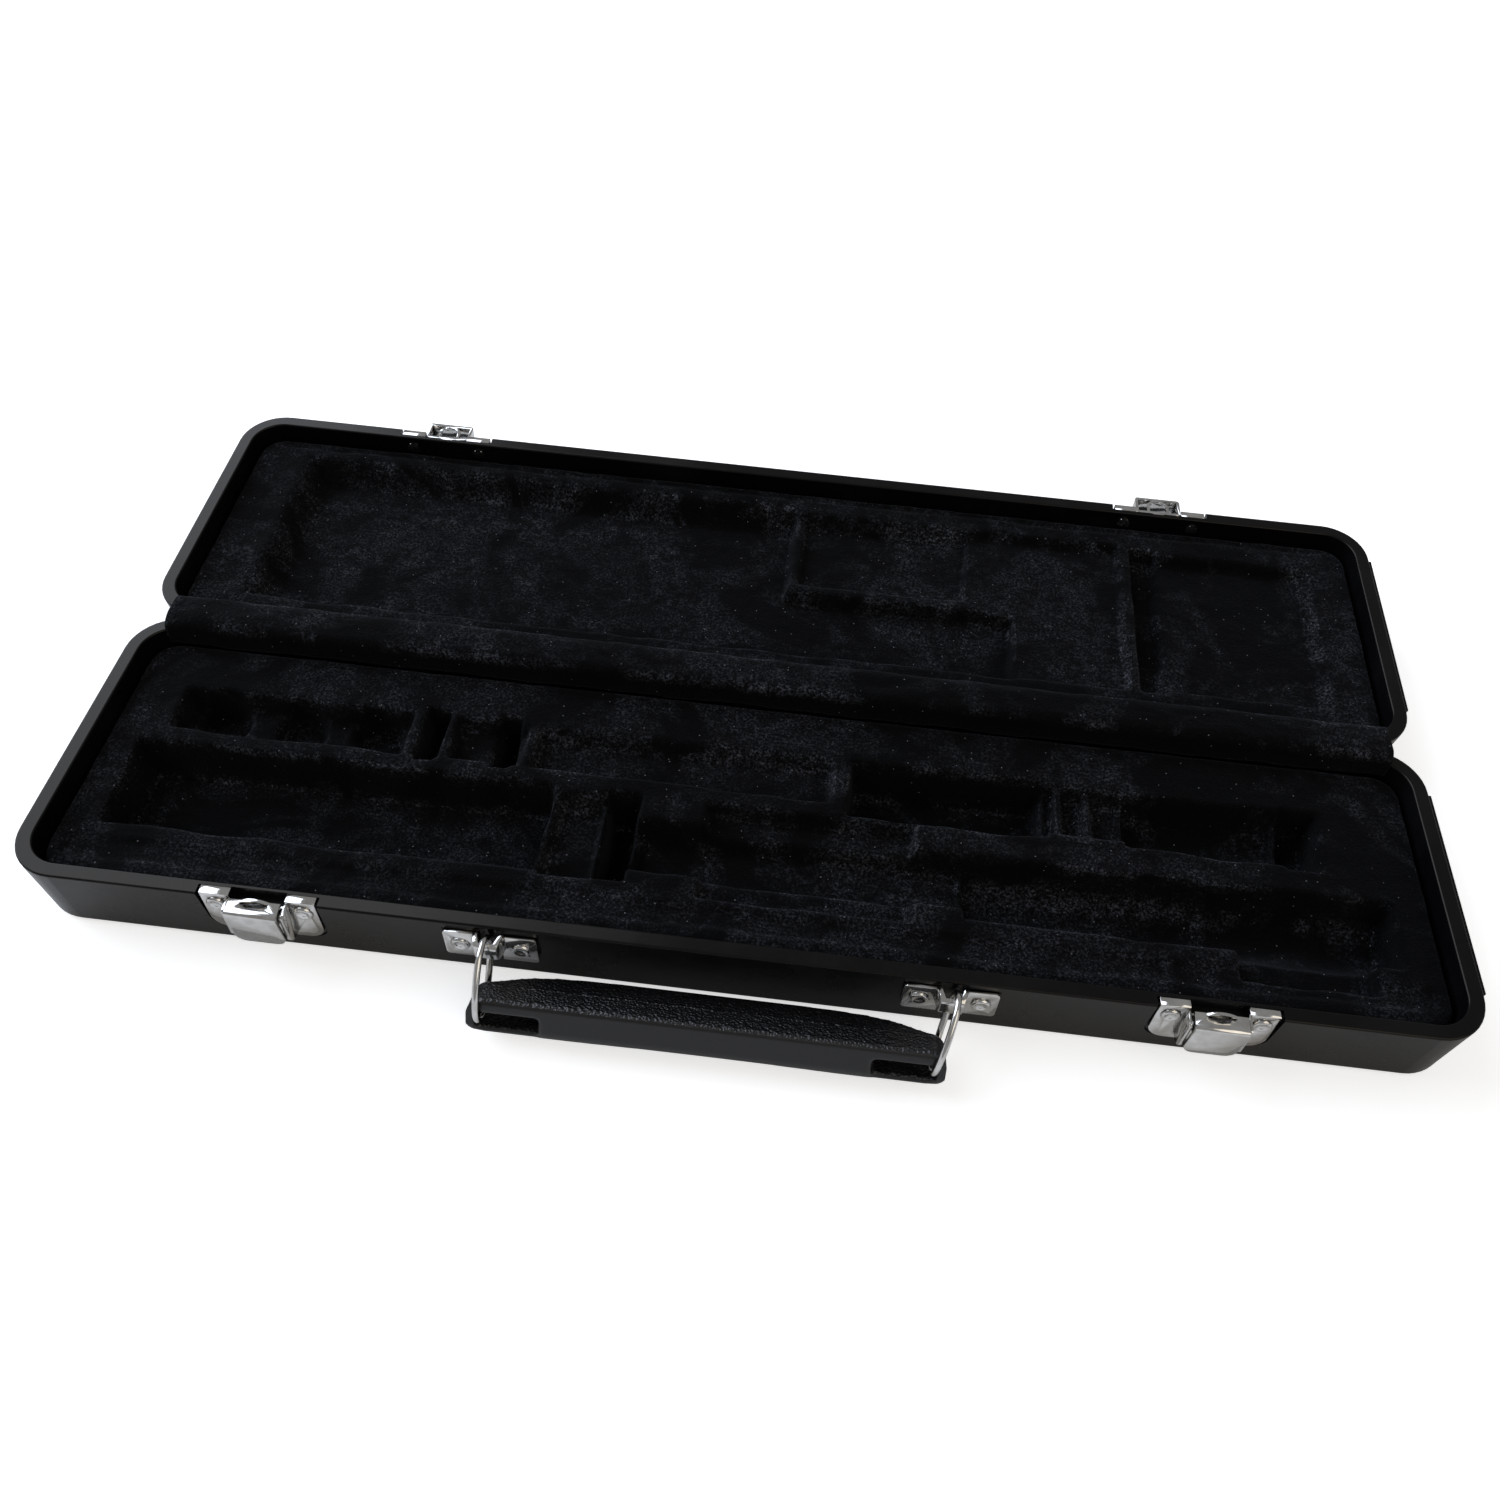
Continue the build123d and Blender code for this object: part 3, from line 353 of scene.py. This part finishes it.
def joinRows(shape, rows):  # faces between each row of points and the next
    for low, high in zip(rows, rows[1:]):
        for a, b, c, d in zip(low, high, high[1:], low[1:]):
            shape.faces.new((a, b, c, d))


def ripple(place, octaves):  # slow waves with finer ones on them
    return noise.fractal(place, 0.9, 2.0, octaves)


# plush liners: each is one moulded tray under cloth, drawn as depths below the rim, in mm
trayShape = {
    "halfLength": 194.6, "halfWidth": 43.0, "corner": 9.0, "step": 0.85, "top": 5.5, "edge": 2.4,
    "troughEnd": 1.6, "troughLip": 0.9, "cupRun": 3.0, "cupBelow": 1.0, "ribRun": 0.9, "ribFoot": 0.6,
    "sway": 0.9, "swayLength": 16, "ruffle": 0.3, "ruffleLength": 9, "soften": 0.5,
}

# a pocket is x low, x high, y low, y high, depth, and the run of its walls: left, right, near, far.
# A trough is x low, x high, its middle in y, radius and the depth of its axis. A cup is x, y, radius
# and depth. A rib is x low, x high, y low, y high and the depth of its crest
baseTray = {
    "piece": "baseLinerPlush", "node": "base_liner", "body": "base", "foot": 23.6,
    "pockets": [
        (-184, -59, -26, 4.5, 20, 3, 2, 5, 3), (-60, -41, -27, 3.5, 12.5, 4, 4, 3, 4),
        (-43, -33, -26, 4.5, 22.3, 2, 2, 2, 2), (-34, 63, -22, -3.5, 15.5, 2, 2, 4, 3),
        (-14, 48, -28.5, 4.5, 10.5, 2, 2, 2.4, 2), (137, 177, -34.5, -14.6, 14, 3, 3, 3, 1),
        (-178, -106.5, 9.5, 26, 12.5, 3, 3, 2, 3), (-94, -71, 9.5, 26, 10.5, 2, 2, 2, 2),
        (-103.5, -96.5, 8.5, 28, 21, 1.4, 1.4, 1.4, 1.4), (-81, -74, 8.5, 28, 21, 1.4, 1.4, 1.4, 1.4),
        (-69, 22.5, 9.5, 26, 10.5, 2, 2, 2, 4), (27, 86, 5.5, 26, 21, 2, 2, 2, 3),
        (85, 109.5, 7, 25, 12.5, 1.5, 1.5, 2, 2), (-190, 190, -38, -30.5, 6.4, 1.2, 1.2, 1.2, 1.2),
    ],
    "troughs": [(61, 184, -14.6, 10.4, 9.6), (108.5, 156, 15, 9.6, 8.6), (155, 166.5, 15, 10.6, 8.6)],
    "cups": [(-165.4, 18, 8.6, 18), (-141.4, 18, 8.6, 18), (-117.4, 18, 8.6, 18)],
    "ribs": [(89, 91.2, 7, 25, 7.5), (97.5, 99.7, 7, 25, 7.5)],
}

lidTray = {
    "piece": "lidLinerPlush", "node": "lid_liner", "body": "lid", "foot": 23.8,
    "pockets": [
        (-177, 1, -33, 36, 14, 9, 1.2, 1.6, 8), (-20, 78, -33, -3, 14, 2, 1.4, 1.6, 1.2),
        (-4, 114.5, -33, 33, 8.5, 1.6, 1.2, 1.6, 2.2), (3, 62, 0.5, 31, 11, 1.4, 1.4, 1.2, 1.4),
        (118, 127.5, -33, 32, 13, 1.1, 1.1, 1.3, 1.3), (126, 181, -32, 31, 9.4, 1.2, 5, 3, 3),
        (-188, 186, 38.5, 41, 6.4, 1.2, 1.2, 1, 1),
    ],
    "troughs": [], "cups": [], "ribs": [],
}


def smooth(share):  # 0 to 1 with a soft start and end, so that every wall has a rounded top and foot
    share = max(0.0, min(1.0, share))
    return share * share * (3 - 2 * share)


def depthAt(tray, x, y):
    top = trayShape["top"]
    depth = top
    for low, high, near, far, floor, left, right, front, back in tray["pockets"]:
        if low < x < high and near < y < far:
            inside = min((x - low) / left, (high - x) / right, (y - near) / front, (far - y) / back)
            depth = max(depth, top + (floor - top) * smooth(inside))
    for low, high, middle, radius, axisDepth in tray["troughs"]:
        across = abs(y - middle)
        if low < x < high and across < radius:
            ends = smooth(min(x - low, high - x) / trayShape["troughEnd"])
            bowl = axisDepth + math.sqrt(radius * radius - across * across)
            lip = smooth((radius - across) / trayShape["troughLip"])
            depth = max(depth, top + (bowl - top) * ends * lip)
    for middleX, middleY, radius, floor in tray["cups"]:
        inside = radius - math.hypot(x - middleX, y - middleY)
        if inside > 0 and depth > top + trayShape["cupBelow"]:
            depth = max(depth, depth + (floor - depth) * smooth(inside / trayShape["cupRun"]))
    for low, high, near, far, crest in tray["ribs"]:
        foot = trayShape["ribFoot"]
        inside = min(x - low + foot, high - x + foot, y - near, far - y)
        if inside > 0:
            depth = min(depth, depth + (crest - depth) * smooth(inside / trayShape["ribRun"]))
    return depth


def intoCorner(x, y):  # the tray's outline has round corners: a point past one slides in to its arc
    corner = trayShape["corner"]
    innerX = trayShape["halfLength"] - corner
    innerY = trayShape["halfWidth"] - corner
    overX = abs(x) - innerX
    overY = abs(y) - innerY
    square = max(overX, overY)
    if overX > 0 and overY > 0:
        reach = math.hypot(overX, overY)
        overX, overY = overX * square / reach, overY * square / reach
        return math.copysign(innerX + overX, x), math.copysign(innerY + overY, y), corner - square
    return x, y, corner - square


def swayAt(spot, shift):  # the edges of pockets wander a little, as cloth edges do
    return noise.noise(spot / trayShape["swayLength"] + Vector(shift)) * trayShape["sway"]


def trayRows(tray, seat, shape):
    columns = int(2 * trayShape["halfLength"] / trayShape["step"])
    rows = int(2 * trayShape["halfWidth"] / trayShape["step"])
    grid = []
    for i in range(columns + 1):
        line = []
        for j in range(rows + 1):
            gridX = (2 * i / columns - 1) * trayShape["halfLength"]
            gridY = (2 * j / rows - 1) * trayShape["halfWidth"]
            x, y, inward = intoCorner(gridX, gridY)
            spot = Vector((x, y, 0))
            depth = depthAt(tray, x + swayAt(spot, (3, 0, 0)), y + swayAt(spot, (0, 7, 0)))
            rolled = max(0.0, 1 - inward / trayShape["edge"])
            depth += (1 - math.sqrt(1 - rolled * rolled)) * trayShape["edge"]
            depth -= ripple(spot / trayShape["ruffleLength"], 5) * trayShape["ruffle"]
            line.append(shape.verts.new(seat @ (Vector((x, y, -depth)) * mm)))
        grid.append(line)
    return grid


def closeBelow(tray, seat, shape, grid):  # side walls down to a flat foot
    rim = grid[0][:-1] + [line[-1] for line in grid[:-1]]
    rim += grid[-1][:0:-1] + [line[0] for line in grid[:0:-1]]
    down = seat.to_3x3() @ Vector((0, 0, -1))
    top = seat @ Vector((0, 0, 0))
    foot = []
    for vertex in rim:
        sunk = tray["foot"] * mm - (vertex.co - top).dot(down)
        foot.append(shape.verts.new(vertex.co + down * sunk))
    for k, vertex in enumerate(rim):
        after = (k + 1) % len(rim)
        shape.faces.new((rim[after], vertex, foot[k], foot[after]))
    shape.faces.new(foot)


def plushTray(tray, seat):
    shape = bmesh.new()
    grid = trayRows(tray, seat, shape)
    joinRows(shape, grid)
    closeBelow(tray, seat, shape, grid)
    bmesh.ops.recalc_face_normals(shape, faces=shape.faces)
    inner = [vertex for line in grid[1:-1] for vertex in line[1:-1]]
    bmesh.ops.smooth_vert(shape, verts=inner, factor=trayShape["soften"],
                          use_axis_x=True, use_axis_y=True, use_axis_z=True)
    for face in shape.faces:
        face.smooth = len(face.verts) == 4
    piece = newPiece(tray["piece"], shape)
    coat(piece, linerPlush)
    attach(piece, tray["body"])
    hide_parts(tray["node"])
    return piece


# the hinge axis, the base's rim, how far the open lid leans back, and its rim from the axis, in mm
hingeLine = {"y": 49.6, "z": 26.55, "rim": 26.4, "lean": 2.0, "lidY": 49.6, "lidZ": -0.15}
onBase = Matrix.Translation(Vector((0, 0, hingeLine["rim"])) * mm)
onLid = (Matrix.Translation(Vector((0, hingeLine["y"], hingeLine["z"])) * mm)
         @ Matrix.Rotation(math.radians(hingeLine["lean"]), 4, "X")
         @ Matrix.Translation(Vector((0, hingeLine["lidY"], hingeLine["lidZ"])) * mm))
for tray, seat in ((baseTray, onBase), (lidTray, onLid)):
    print(tray["piece"], len(plushTray(tray, seat).data.polygons), "faces")


# plush flap over the hinges: a strip of cloth glued to both liners, arched over the two rims.
# "side" is one half of its section, y and z from the hinge axis; the other half mirrors it
flapPiece = {
    "axisY": hingeLine["y"], "axisZ": hingeLine["z"], "turn": 1.0, "half": 190.5, "step": 1.0, "rows": 34,
    "thickness": 0.9, "waver": 0.35, "waverLengths": (14, 5, 9), "sideways": 0.4,
    "edgeWaver": 0.9, "edgeLength": 22, "edgePower": 6, "rounding": 3, "bend": 0.8,
    "side": [(6.9, -5.0), (6.8, 0.6), (5.0, 3.1), (0.0, 3.35)],
}


def roundedLine(points, passes):
    for _ in range(passes):  # each pass cuts every corner at a quarter
        cut = [points[0]]
        for a, b in zip(points, points[1:]):
            cut.append((a[0] * 0.75 + b[0] * 0.25, a[1] * 0.75 + b[1] * 0.25))
            cut.append((a[0] * 0.25 + b[0] * 0.75, a[1] * 0.25 + b[1] * 0.75))
        points = cut + [points[-1]]
    return points


def evenly(points, count):  # the same line cut into equal lengths, and its length
    lengths = [0.0]
    for a, b in zip(points, points[1:]):
        lengths.append(lengths[-1] + math.dist(a, b))
    even = []
    k = 0
    for i in range(count + 1):
        goal = lengths[-1] * i / count
        while k < len(points) - 2 and lengths[k + 1] < goal:
            k += 1
        share = (goal - lengths[k]) / (lengths[k + 1] - lengths[k])
        even.append([a + (b - a) * share for a, b in zip(points[k], points[k + 1])])
    return even, lengths[-1]


def flapSheet(sizes):
    side = sizes["side"]
    profile = [(-y, z) for y, z in side] + side[-2::-1]
    line, width = evenly(roundedLine(profile, sizes["rounding"]), sizes["rows"])
    turn = Matrix.Rotation(math.radians(sizes["turn"]), 4, "X")
    seat = Matrix.Translation(Vector((0, sizes["axisY"], sizes["axisZ"])) * mm) @ turn
    lengthX, lengthY, lengthRows = sizes["waverLengths"]
    shape = bmesh.new()
    columns = int(2 * sizes["half"] / sizes["step"])
    rows = []
    for i in range(columns + 1):
        x = -sizes["half"] + i * sizes["step"]
        row = []
        for j, (y, z) in enumerate(line):
            edge = abs(2 * j / sizes["rows"] - 1) ** sizes["edgePower"]
            wave = ripple(Vector((x / lengthX, y / lengthY, j / lengthRows)), 4) * sizes["waver"]
            edgeLine = 3.0 if y > 0 else 8.0  # the two long edges waver each in its own way
            drop = ripple(Vector((x / sizes["edgeLength"], edgeLine, 0)), 3) * sizes["edgeWaver"] * edge
            spot = Vector((x, y + wave * sizes["sideways"], z + wave + drop))
            row.append(shape.verts.new(seat @ (spot * mm)))
        rows.append(row)
    joinRows(shape, rows)
    bmesh.ops.recalc_face_normals(shape, faces=shape.faces)
    piece = newPiece("hingeFlapPlush", shape)
    cloth = piece.modifiers.new("cloth", "SOLIDIFY")
    cloth.thickness = sizes["thickness"] * mm
    cloth.offset = 0.0
    applyModifiers(piece)
    smoothShade(piece)
    coat(piece, linerPlush)
    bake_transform(piece)
    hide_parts("hinge_flap")


flapSheet(flapPiece)
print("flap laid")


# stamped hardware: copies of the CAD pieces with the small bright edges that stamping leaves
hardware = {
    "base": ["latch_plate_left", "latch_plate_right", "handle_bracket_left", "handle_bracket_right"],
    "left_latch": ["latch_lever_left"], "right_latch": ["latch_lever_right"],
    "lid": ["keeper_left", "keeper_right"],
}
hardwareSizes = {"edge": 0.16, "segments": 2, "angle": 32.0, "flatWithin": 1.0}


def bevelledCopy(nodeName, body):
    piece = mergedCopy(nodeName, pieceNameOf(nodeName))
    flat = piece.modifiers.new("flat", "DECIMATE")
    flat.decimate_type = "DISSOLVE"
    flat.angle_limit = math.radians(hardwareSizes["flatWithin"])
    edge = piece.modifiers.new("edge", "BEVEL")
    edge.width = hardwareSizes["edge"] * mm
    edge.segments = hardwareSizes["segments"]
    edge.limit_method = "ANGLE"
    edge.angle_limit = math.radians(hardwareSizes["angle"])
    edge.harden_normals = True
    applyModifiers(piece)
    smoothShade(piece)
    coat(piece, nickelPlate)
    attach(piece, body)
    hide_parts(nodeName)


for body, names in hardware.items():
    for nodeName in names:
        bevelledCopy(nodeName, body)
print("hardware bevelled")


# grip: stippled on its upper face, smooth on the sides, with rounded ends and a fine parting line.
# "middle" and "drop" place its own frame, tipped by "tip" degrees, with z up out of its upper face
gripShape = {
    "voxel": 0.42, "passes": 3, "tip": 26.0, "middle": (-4.85, -61.861, 13.233), "drop": 4.7,
    "stippleAbove": 0.6, "shorter": 0.988, "lower": 0.95, "roundFrom": 58.6, "roundRadius": 7.2,
    "roundPower": 4, "leastBelow": 0.5, "leastAbove": 0.6,
    "seamY": 3.0, "seamHalf": 0.3, "seamRise": 0.15, "seamAbove": 5.2,
}


def gripMoulding(sizes):
    piece = mergedCopy("handle_grip", "gripMoulding")
    remesh = piece.modifiers.new("skin", "REMESH")
    remesh.mode = "VOXEL"
    remesh.voxel_size = sizes["voxel"] * mm
    soften = piece.modifiers.new("soften", "SMOOTH")
    soften.iterations = sizes["passes"]
    applyModifiers(piece)
    seat = (Matrix.Translation(Vector(sizes["middle"]) * mm)
            @ Matrix.Rotation(math.radians(-sizes["tip"]), 4, "X")
            @ Matrix.Translation(Vector((0, 0, -sizes["drop"])) * mm))
    back = seat.inverted()
    for vertex in piece.data.vertices:
        spot = (back @ vertex.co) / mm
        spot.x *= sizes["shorter"]
        past = max(0.0, (abs(spot.x) - sizes["roundFrom"]) / sizes["roundRadius"])
        if spot.z < 0:
            spot.z *= sizes["lower"] * max(sizes["leastBelow"], math.sqrt(max(0.0, 1 - past * past)))
        else:
            rounded = math.sqrt(max(0.0, 1 - past ** sizes["roundPower"]))
            spot.z *= max(sizes["leastAbove"], rounded)
            if spot.z > sizes["seamAbove"] and abs(spot.y - sizes["seamY"]) < sizes["seamHalf"]:
                spot.z += sizes["seamRise"]
        vertex.co = seat @ (spot * mm)
    smoothShade(piece)
    coat(piece, gripSkin)
    piece.data.materials.append(gripSides)
    upper = seat.to_3x3() @ Vector((0, 0, 1))
    for face in piece.data.polygons:
        face.material_index = 0 if face.normal.dot(upper) > sizes["stippleAbove"] else 1
    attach(piece, "handle")
    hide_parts("handle_grip")


gripMoulding(gripShape)
print("grip moulded")


# rivets in sight: the CAD shanks and tails, with the ring and dish that the setting tool leaves on a head.
# "profile" is radius and rise from the middle out
rivetShape = {
    "dome": 0.79, "sides": 28, "floor": 0.12,
    "profile": [(0.8, 0.14), (1.3, 0.4), (1.8, 0.8), (2.2, 0.78), (2.55, 0.48), (2.68, 0.0)],
}
rivetRows = {  # the body that each row rides on, and the way that its heads face
    "latch_rivets": ("base", (0, -1, 0)), "bracket_rivets": ("base", (0, -1, 0)),
    "keeper_rivets": ("lid", (0, 0.9994, 0.0349)),
}


def turnedHead(shape, centre, out):
    along = Vector((1, 0, 0))
    side = out.cross(along).normalized()
    sides = rivetShape["sides"]
    rings = []
    for radius, rise in rivetShape["profile"]:
        ring = []
        for k in range(sides):
            angle = 2 * math.pi * k / sides
            across = along * math.cos(angle) + side * math.sin(angle)
            ring.append(shape.verts.new(centre + (across * radius + out * rise) * mm))
        rings.append(ring)
    middle = shape.verts.new(centre + out * rivetShape["floor"] * mm)
    faces = []
    for k in range(sides):
        after = (k + 1) % sides
        faces.append(shape.faces.new((middle, rings[0][k], rings[0][after])))
        for low, high in zip(rings, rings[1:]):
            faces.append(shape.faces.new((low[k], high[k], high[after], low[after])))
    bmesh.ops.recalc_face_normals(shape, faces=faces)
    if faces[0].normal.dot(out) < 0:
        bmesh.ops.reverse_faces(shape, faces=faces)
    for face in faces:
        face.smooth = True


def dishedRivets(nodeName, body, outward):
    piece = mergedCopy(nodeName, pieceNameOf(nodeName))
    shape = bmesh.new()
    shape.from_mesh(piece.data)
    out = Vector(outward)
    left = set(shape.verts)
    centres = []
    while left:  # one rivet after another, each an island of joined points
        island = {left.pop()}
        front = list(island)
        while front:
            vertex = front.pop()
            for edge in vertex.link_edges:
                other = edge.other_vert(vertex)
                if other not in island:
                    island.add(other)
                    front.append(other)
        left -= island
        tip = max(island, key=lambda vertex: vertex.co.dot(out)).co.copy()
        seat = tip - out * rivetShape["dome"] * mm
        centres.append(seat)
        for vertex in island:  # the plain dome goes flat under its turned head
            above = (vertex.co - seat).dot(out)
            if above > 0:
                vertex.co -= out * above
    for centre in centres:
        turnedHead(shape, centre, out)
    shape.to_mesh(piece.data)
    shape.free()
    coat(piece, nickelPlate)
    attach(piece, body)
    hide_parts(nodeName)


for nodeName, (body, outward) in rivetRows.items():
    dishedRivets(nodeName, body, outward)
print("rivets dished")


# floor, world and lamps. "lift" and "skySeen" make the background pale to the camera alone,
# "skyOnCase" is the light that the world gives the object
stageLook = {"floor": "#f2f2f2", "lift": 0.62, "floorSize": 40.0, "skySeen": 1.0, "skyOnCase": 0.25}
lamps = {
    "windowLight": {"place": (-1.45, 0.75, 1.2), "target": (0, 0.05, 0), "size": 2.2, "power": 44.0,
                    "colour": "#e6efff"},
    "roomLight": {"place": (1.0, -0.9, 1.2), "target": (0, 0, 0), "size": 1.4, "power": 6.0,
                  "colour": "#fff4e2"},
}


def floorMaterial():
    material = bpy.data.materials.new("paleFloor")
    material.use_nodes = True
    tree = material.node_tree
    shader = tree.nodes["Principled BSDF"]
    shader.inputs["Base Color"].default_value = linear(stageLook["floor"])
    shader.inputs["Roughness"].default_value = 0.9
    seen = addNode(tree, "ShaderNodeLightPath").outputs["Is Camera Ray"]
    glow = addNode(tree, "ShaderNodeMath", {"operation": "MULTIPLY"}, {0: seen, 1: stageLook["lift"]})
    shader.inputs["Emission Color"].default_value = linear("#ffffff")
    tree.links.new(glow.outputs["Value"], shader.inputs["Emission Strength"])
    return material


def makeFloor():
    shape = bmesh.new()
    bmesh.ops.create_grid(shape, x_segments=1, y_segments=1, size=stageLook["floorSize"] / 2)
    floor = newPiece("floor", shape)
    coat(floor, floorMaterial())


def makeLight(name, look):
    data = bpy.data.lights.new(name, "AREA")
    data.size = look["size"]
    data.energy = look["power"]
    data.color = linear(look["colour"])[:3]
    light = bpy.data.objects.new(name, data)
    light.location = look["place"]
    aim = Vector(look["target"]) - Vector(look["place"])
    light.rotation_euler = aim.to_track_quat("-Z", "Y").to_euler()
    bpy.context.scene.collection.objects.link(light)


def makeWorld():
    world = bpy.data.worlds.new("studio")
    bpy.context.scene.world = world
    world.use_nodes = True
    tree = world.node_tree
    background = tree.nodes["Background"]
    rays = addNode(tree, "ShaderNodeLightPath")
    strength = addNode(tree, "ShaderNodeMapRange", inputs={
        "Value": rays.outputs["Is Camera Ray"],
        "To Min": stageLook["skyOnCase"], "To Max": stageLook["skySeen"]})
    background.inputs["Color"].default_value = linear("#ffffff")
    tree.links.new(strength.outputs["Result"], background.inputs["Strength"])


# the lens and place that fit the photograph's view; the turn is an axis in radians, world to camera
cameraAim = {
    "axis": (2.4342, 0.1486, 0.0114), "position": (13.59, -218.35, 331.98),
    "focal": 1301.15, "centreX": 771.91, "centreY": 702.91, "frameSize": 1500.0, "sensor": 36.0,
    "nearest": 0.01, "farthest": 20.0,
}


def makeCamera():
    scene = bpy.context.scene
    data = bpy.data.cameras.new("camera")
    camera = bpy.data.objects.new("camera", data)
    scene.collection.objects.link(camera)
    scene.camera = camera
    turn = Vector(cameraAim["axis"])
    matrix = Matrix.Rotation(turn.length, 3, turn.normalized())
    right, down, forward = matrix[0], matrix[1], matrix[2]
    world = Matrix((right, -down, -forward)).transposed().to_4x4()
    world.translation = Vector(cameraAim["position"]) * mm
    camera.matrix_world = world
    frameSize = cameraAim["frameSize"]
    data.sensor_fit = "HORIZONTAL"
    data.sensor_width = cameraAim["sensor"]
    data.lens = cameraAim["focal"] / frameSize * cameraAim["sensor"]
    data.shift_x = (frameSize / 2 - cameraAim["centreX"]) / frameSize
    data.shift_y = (cameraAim["centreY"] - frameSize / 2) / frameSize
    data.clip_start = cameraAim["nearest"]
    data.clip_end = cameraAim["farthest"]


makeFloor()
makeWorld()
for name, look in lamps.items():
    makeLight(name, look)
makeCamera()
bpy.context.scene.view_settings.view_transform = "Standard"
print("stage set")
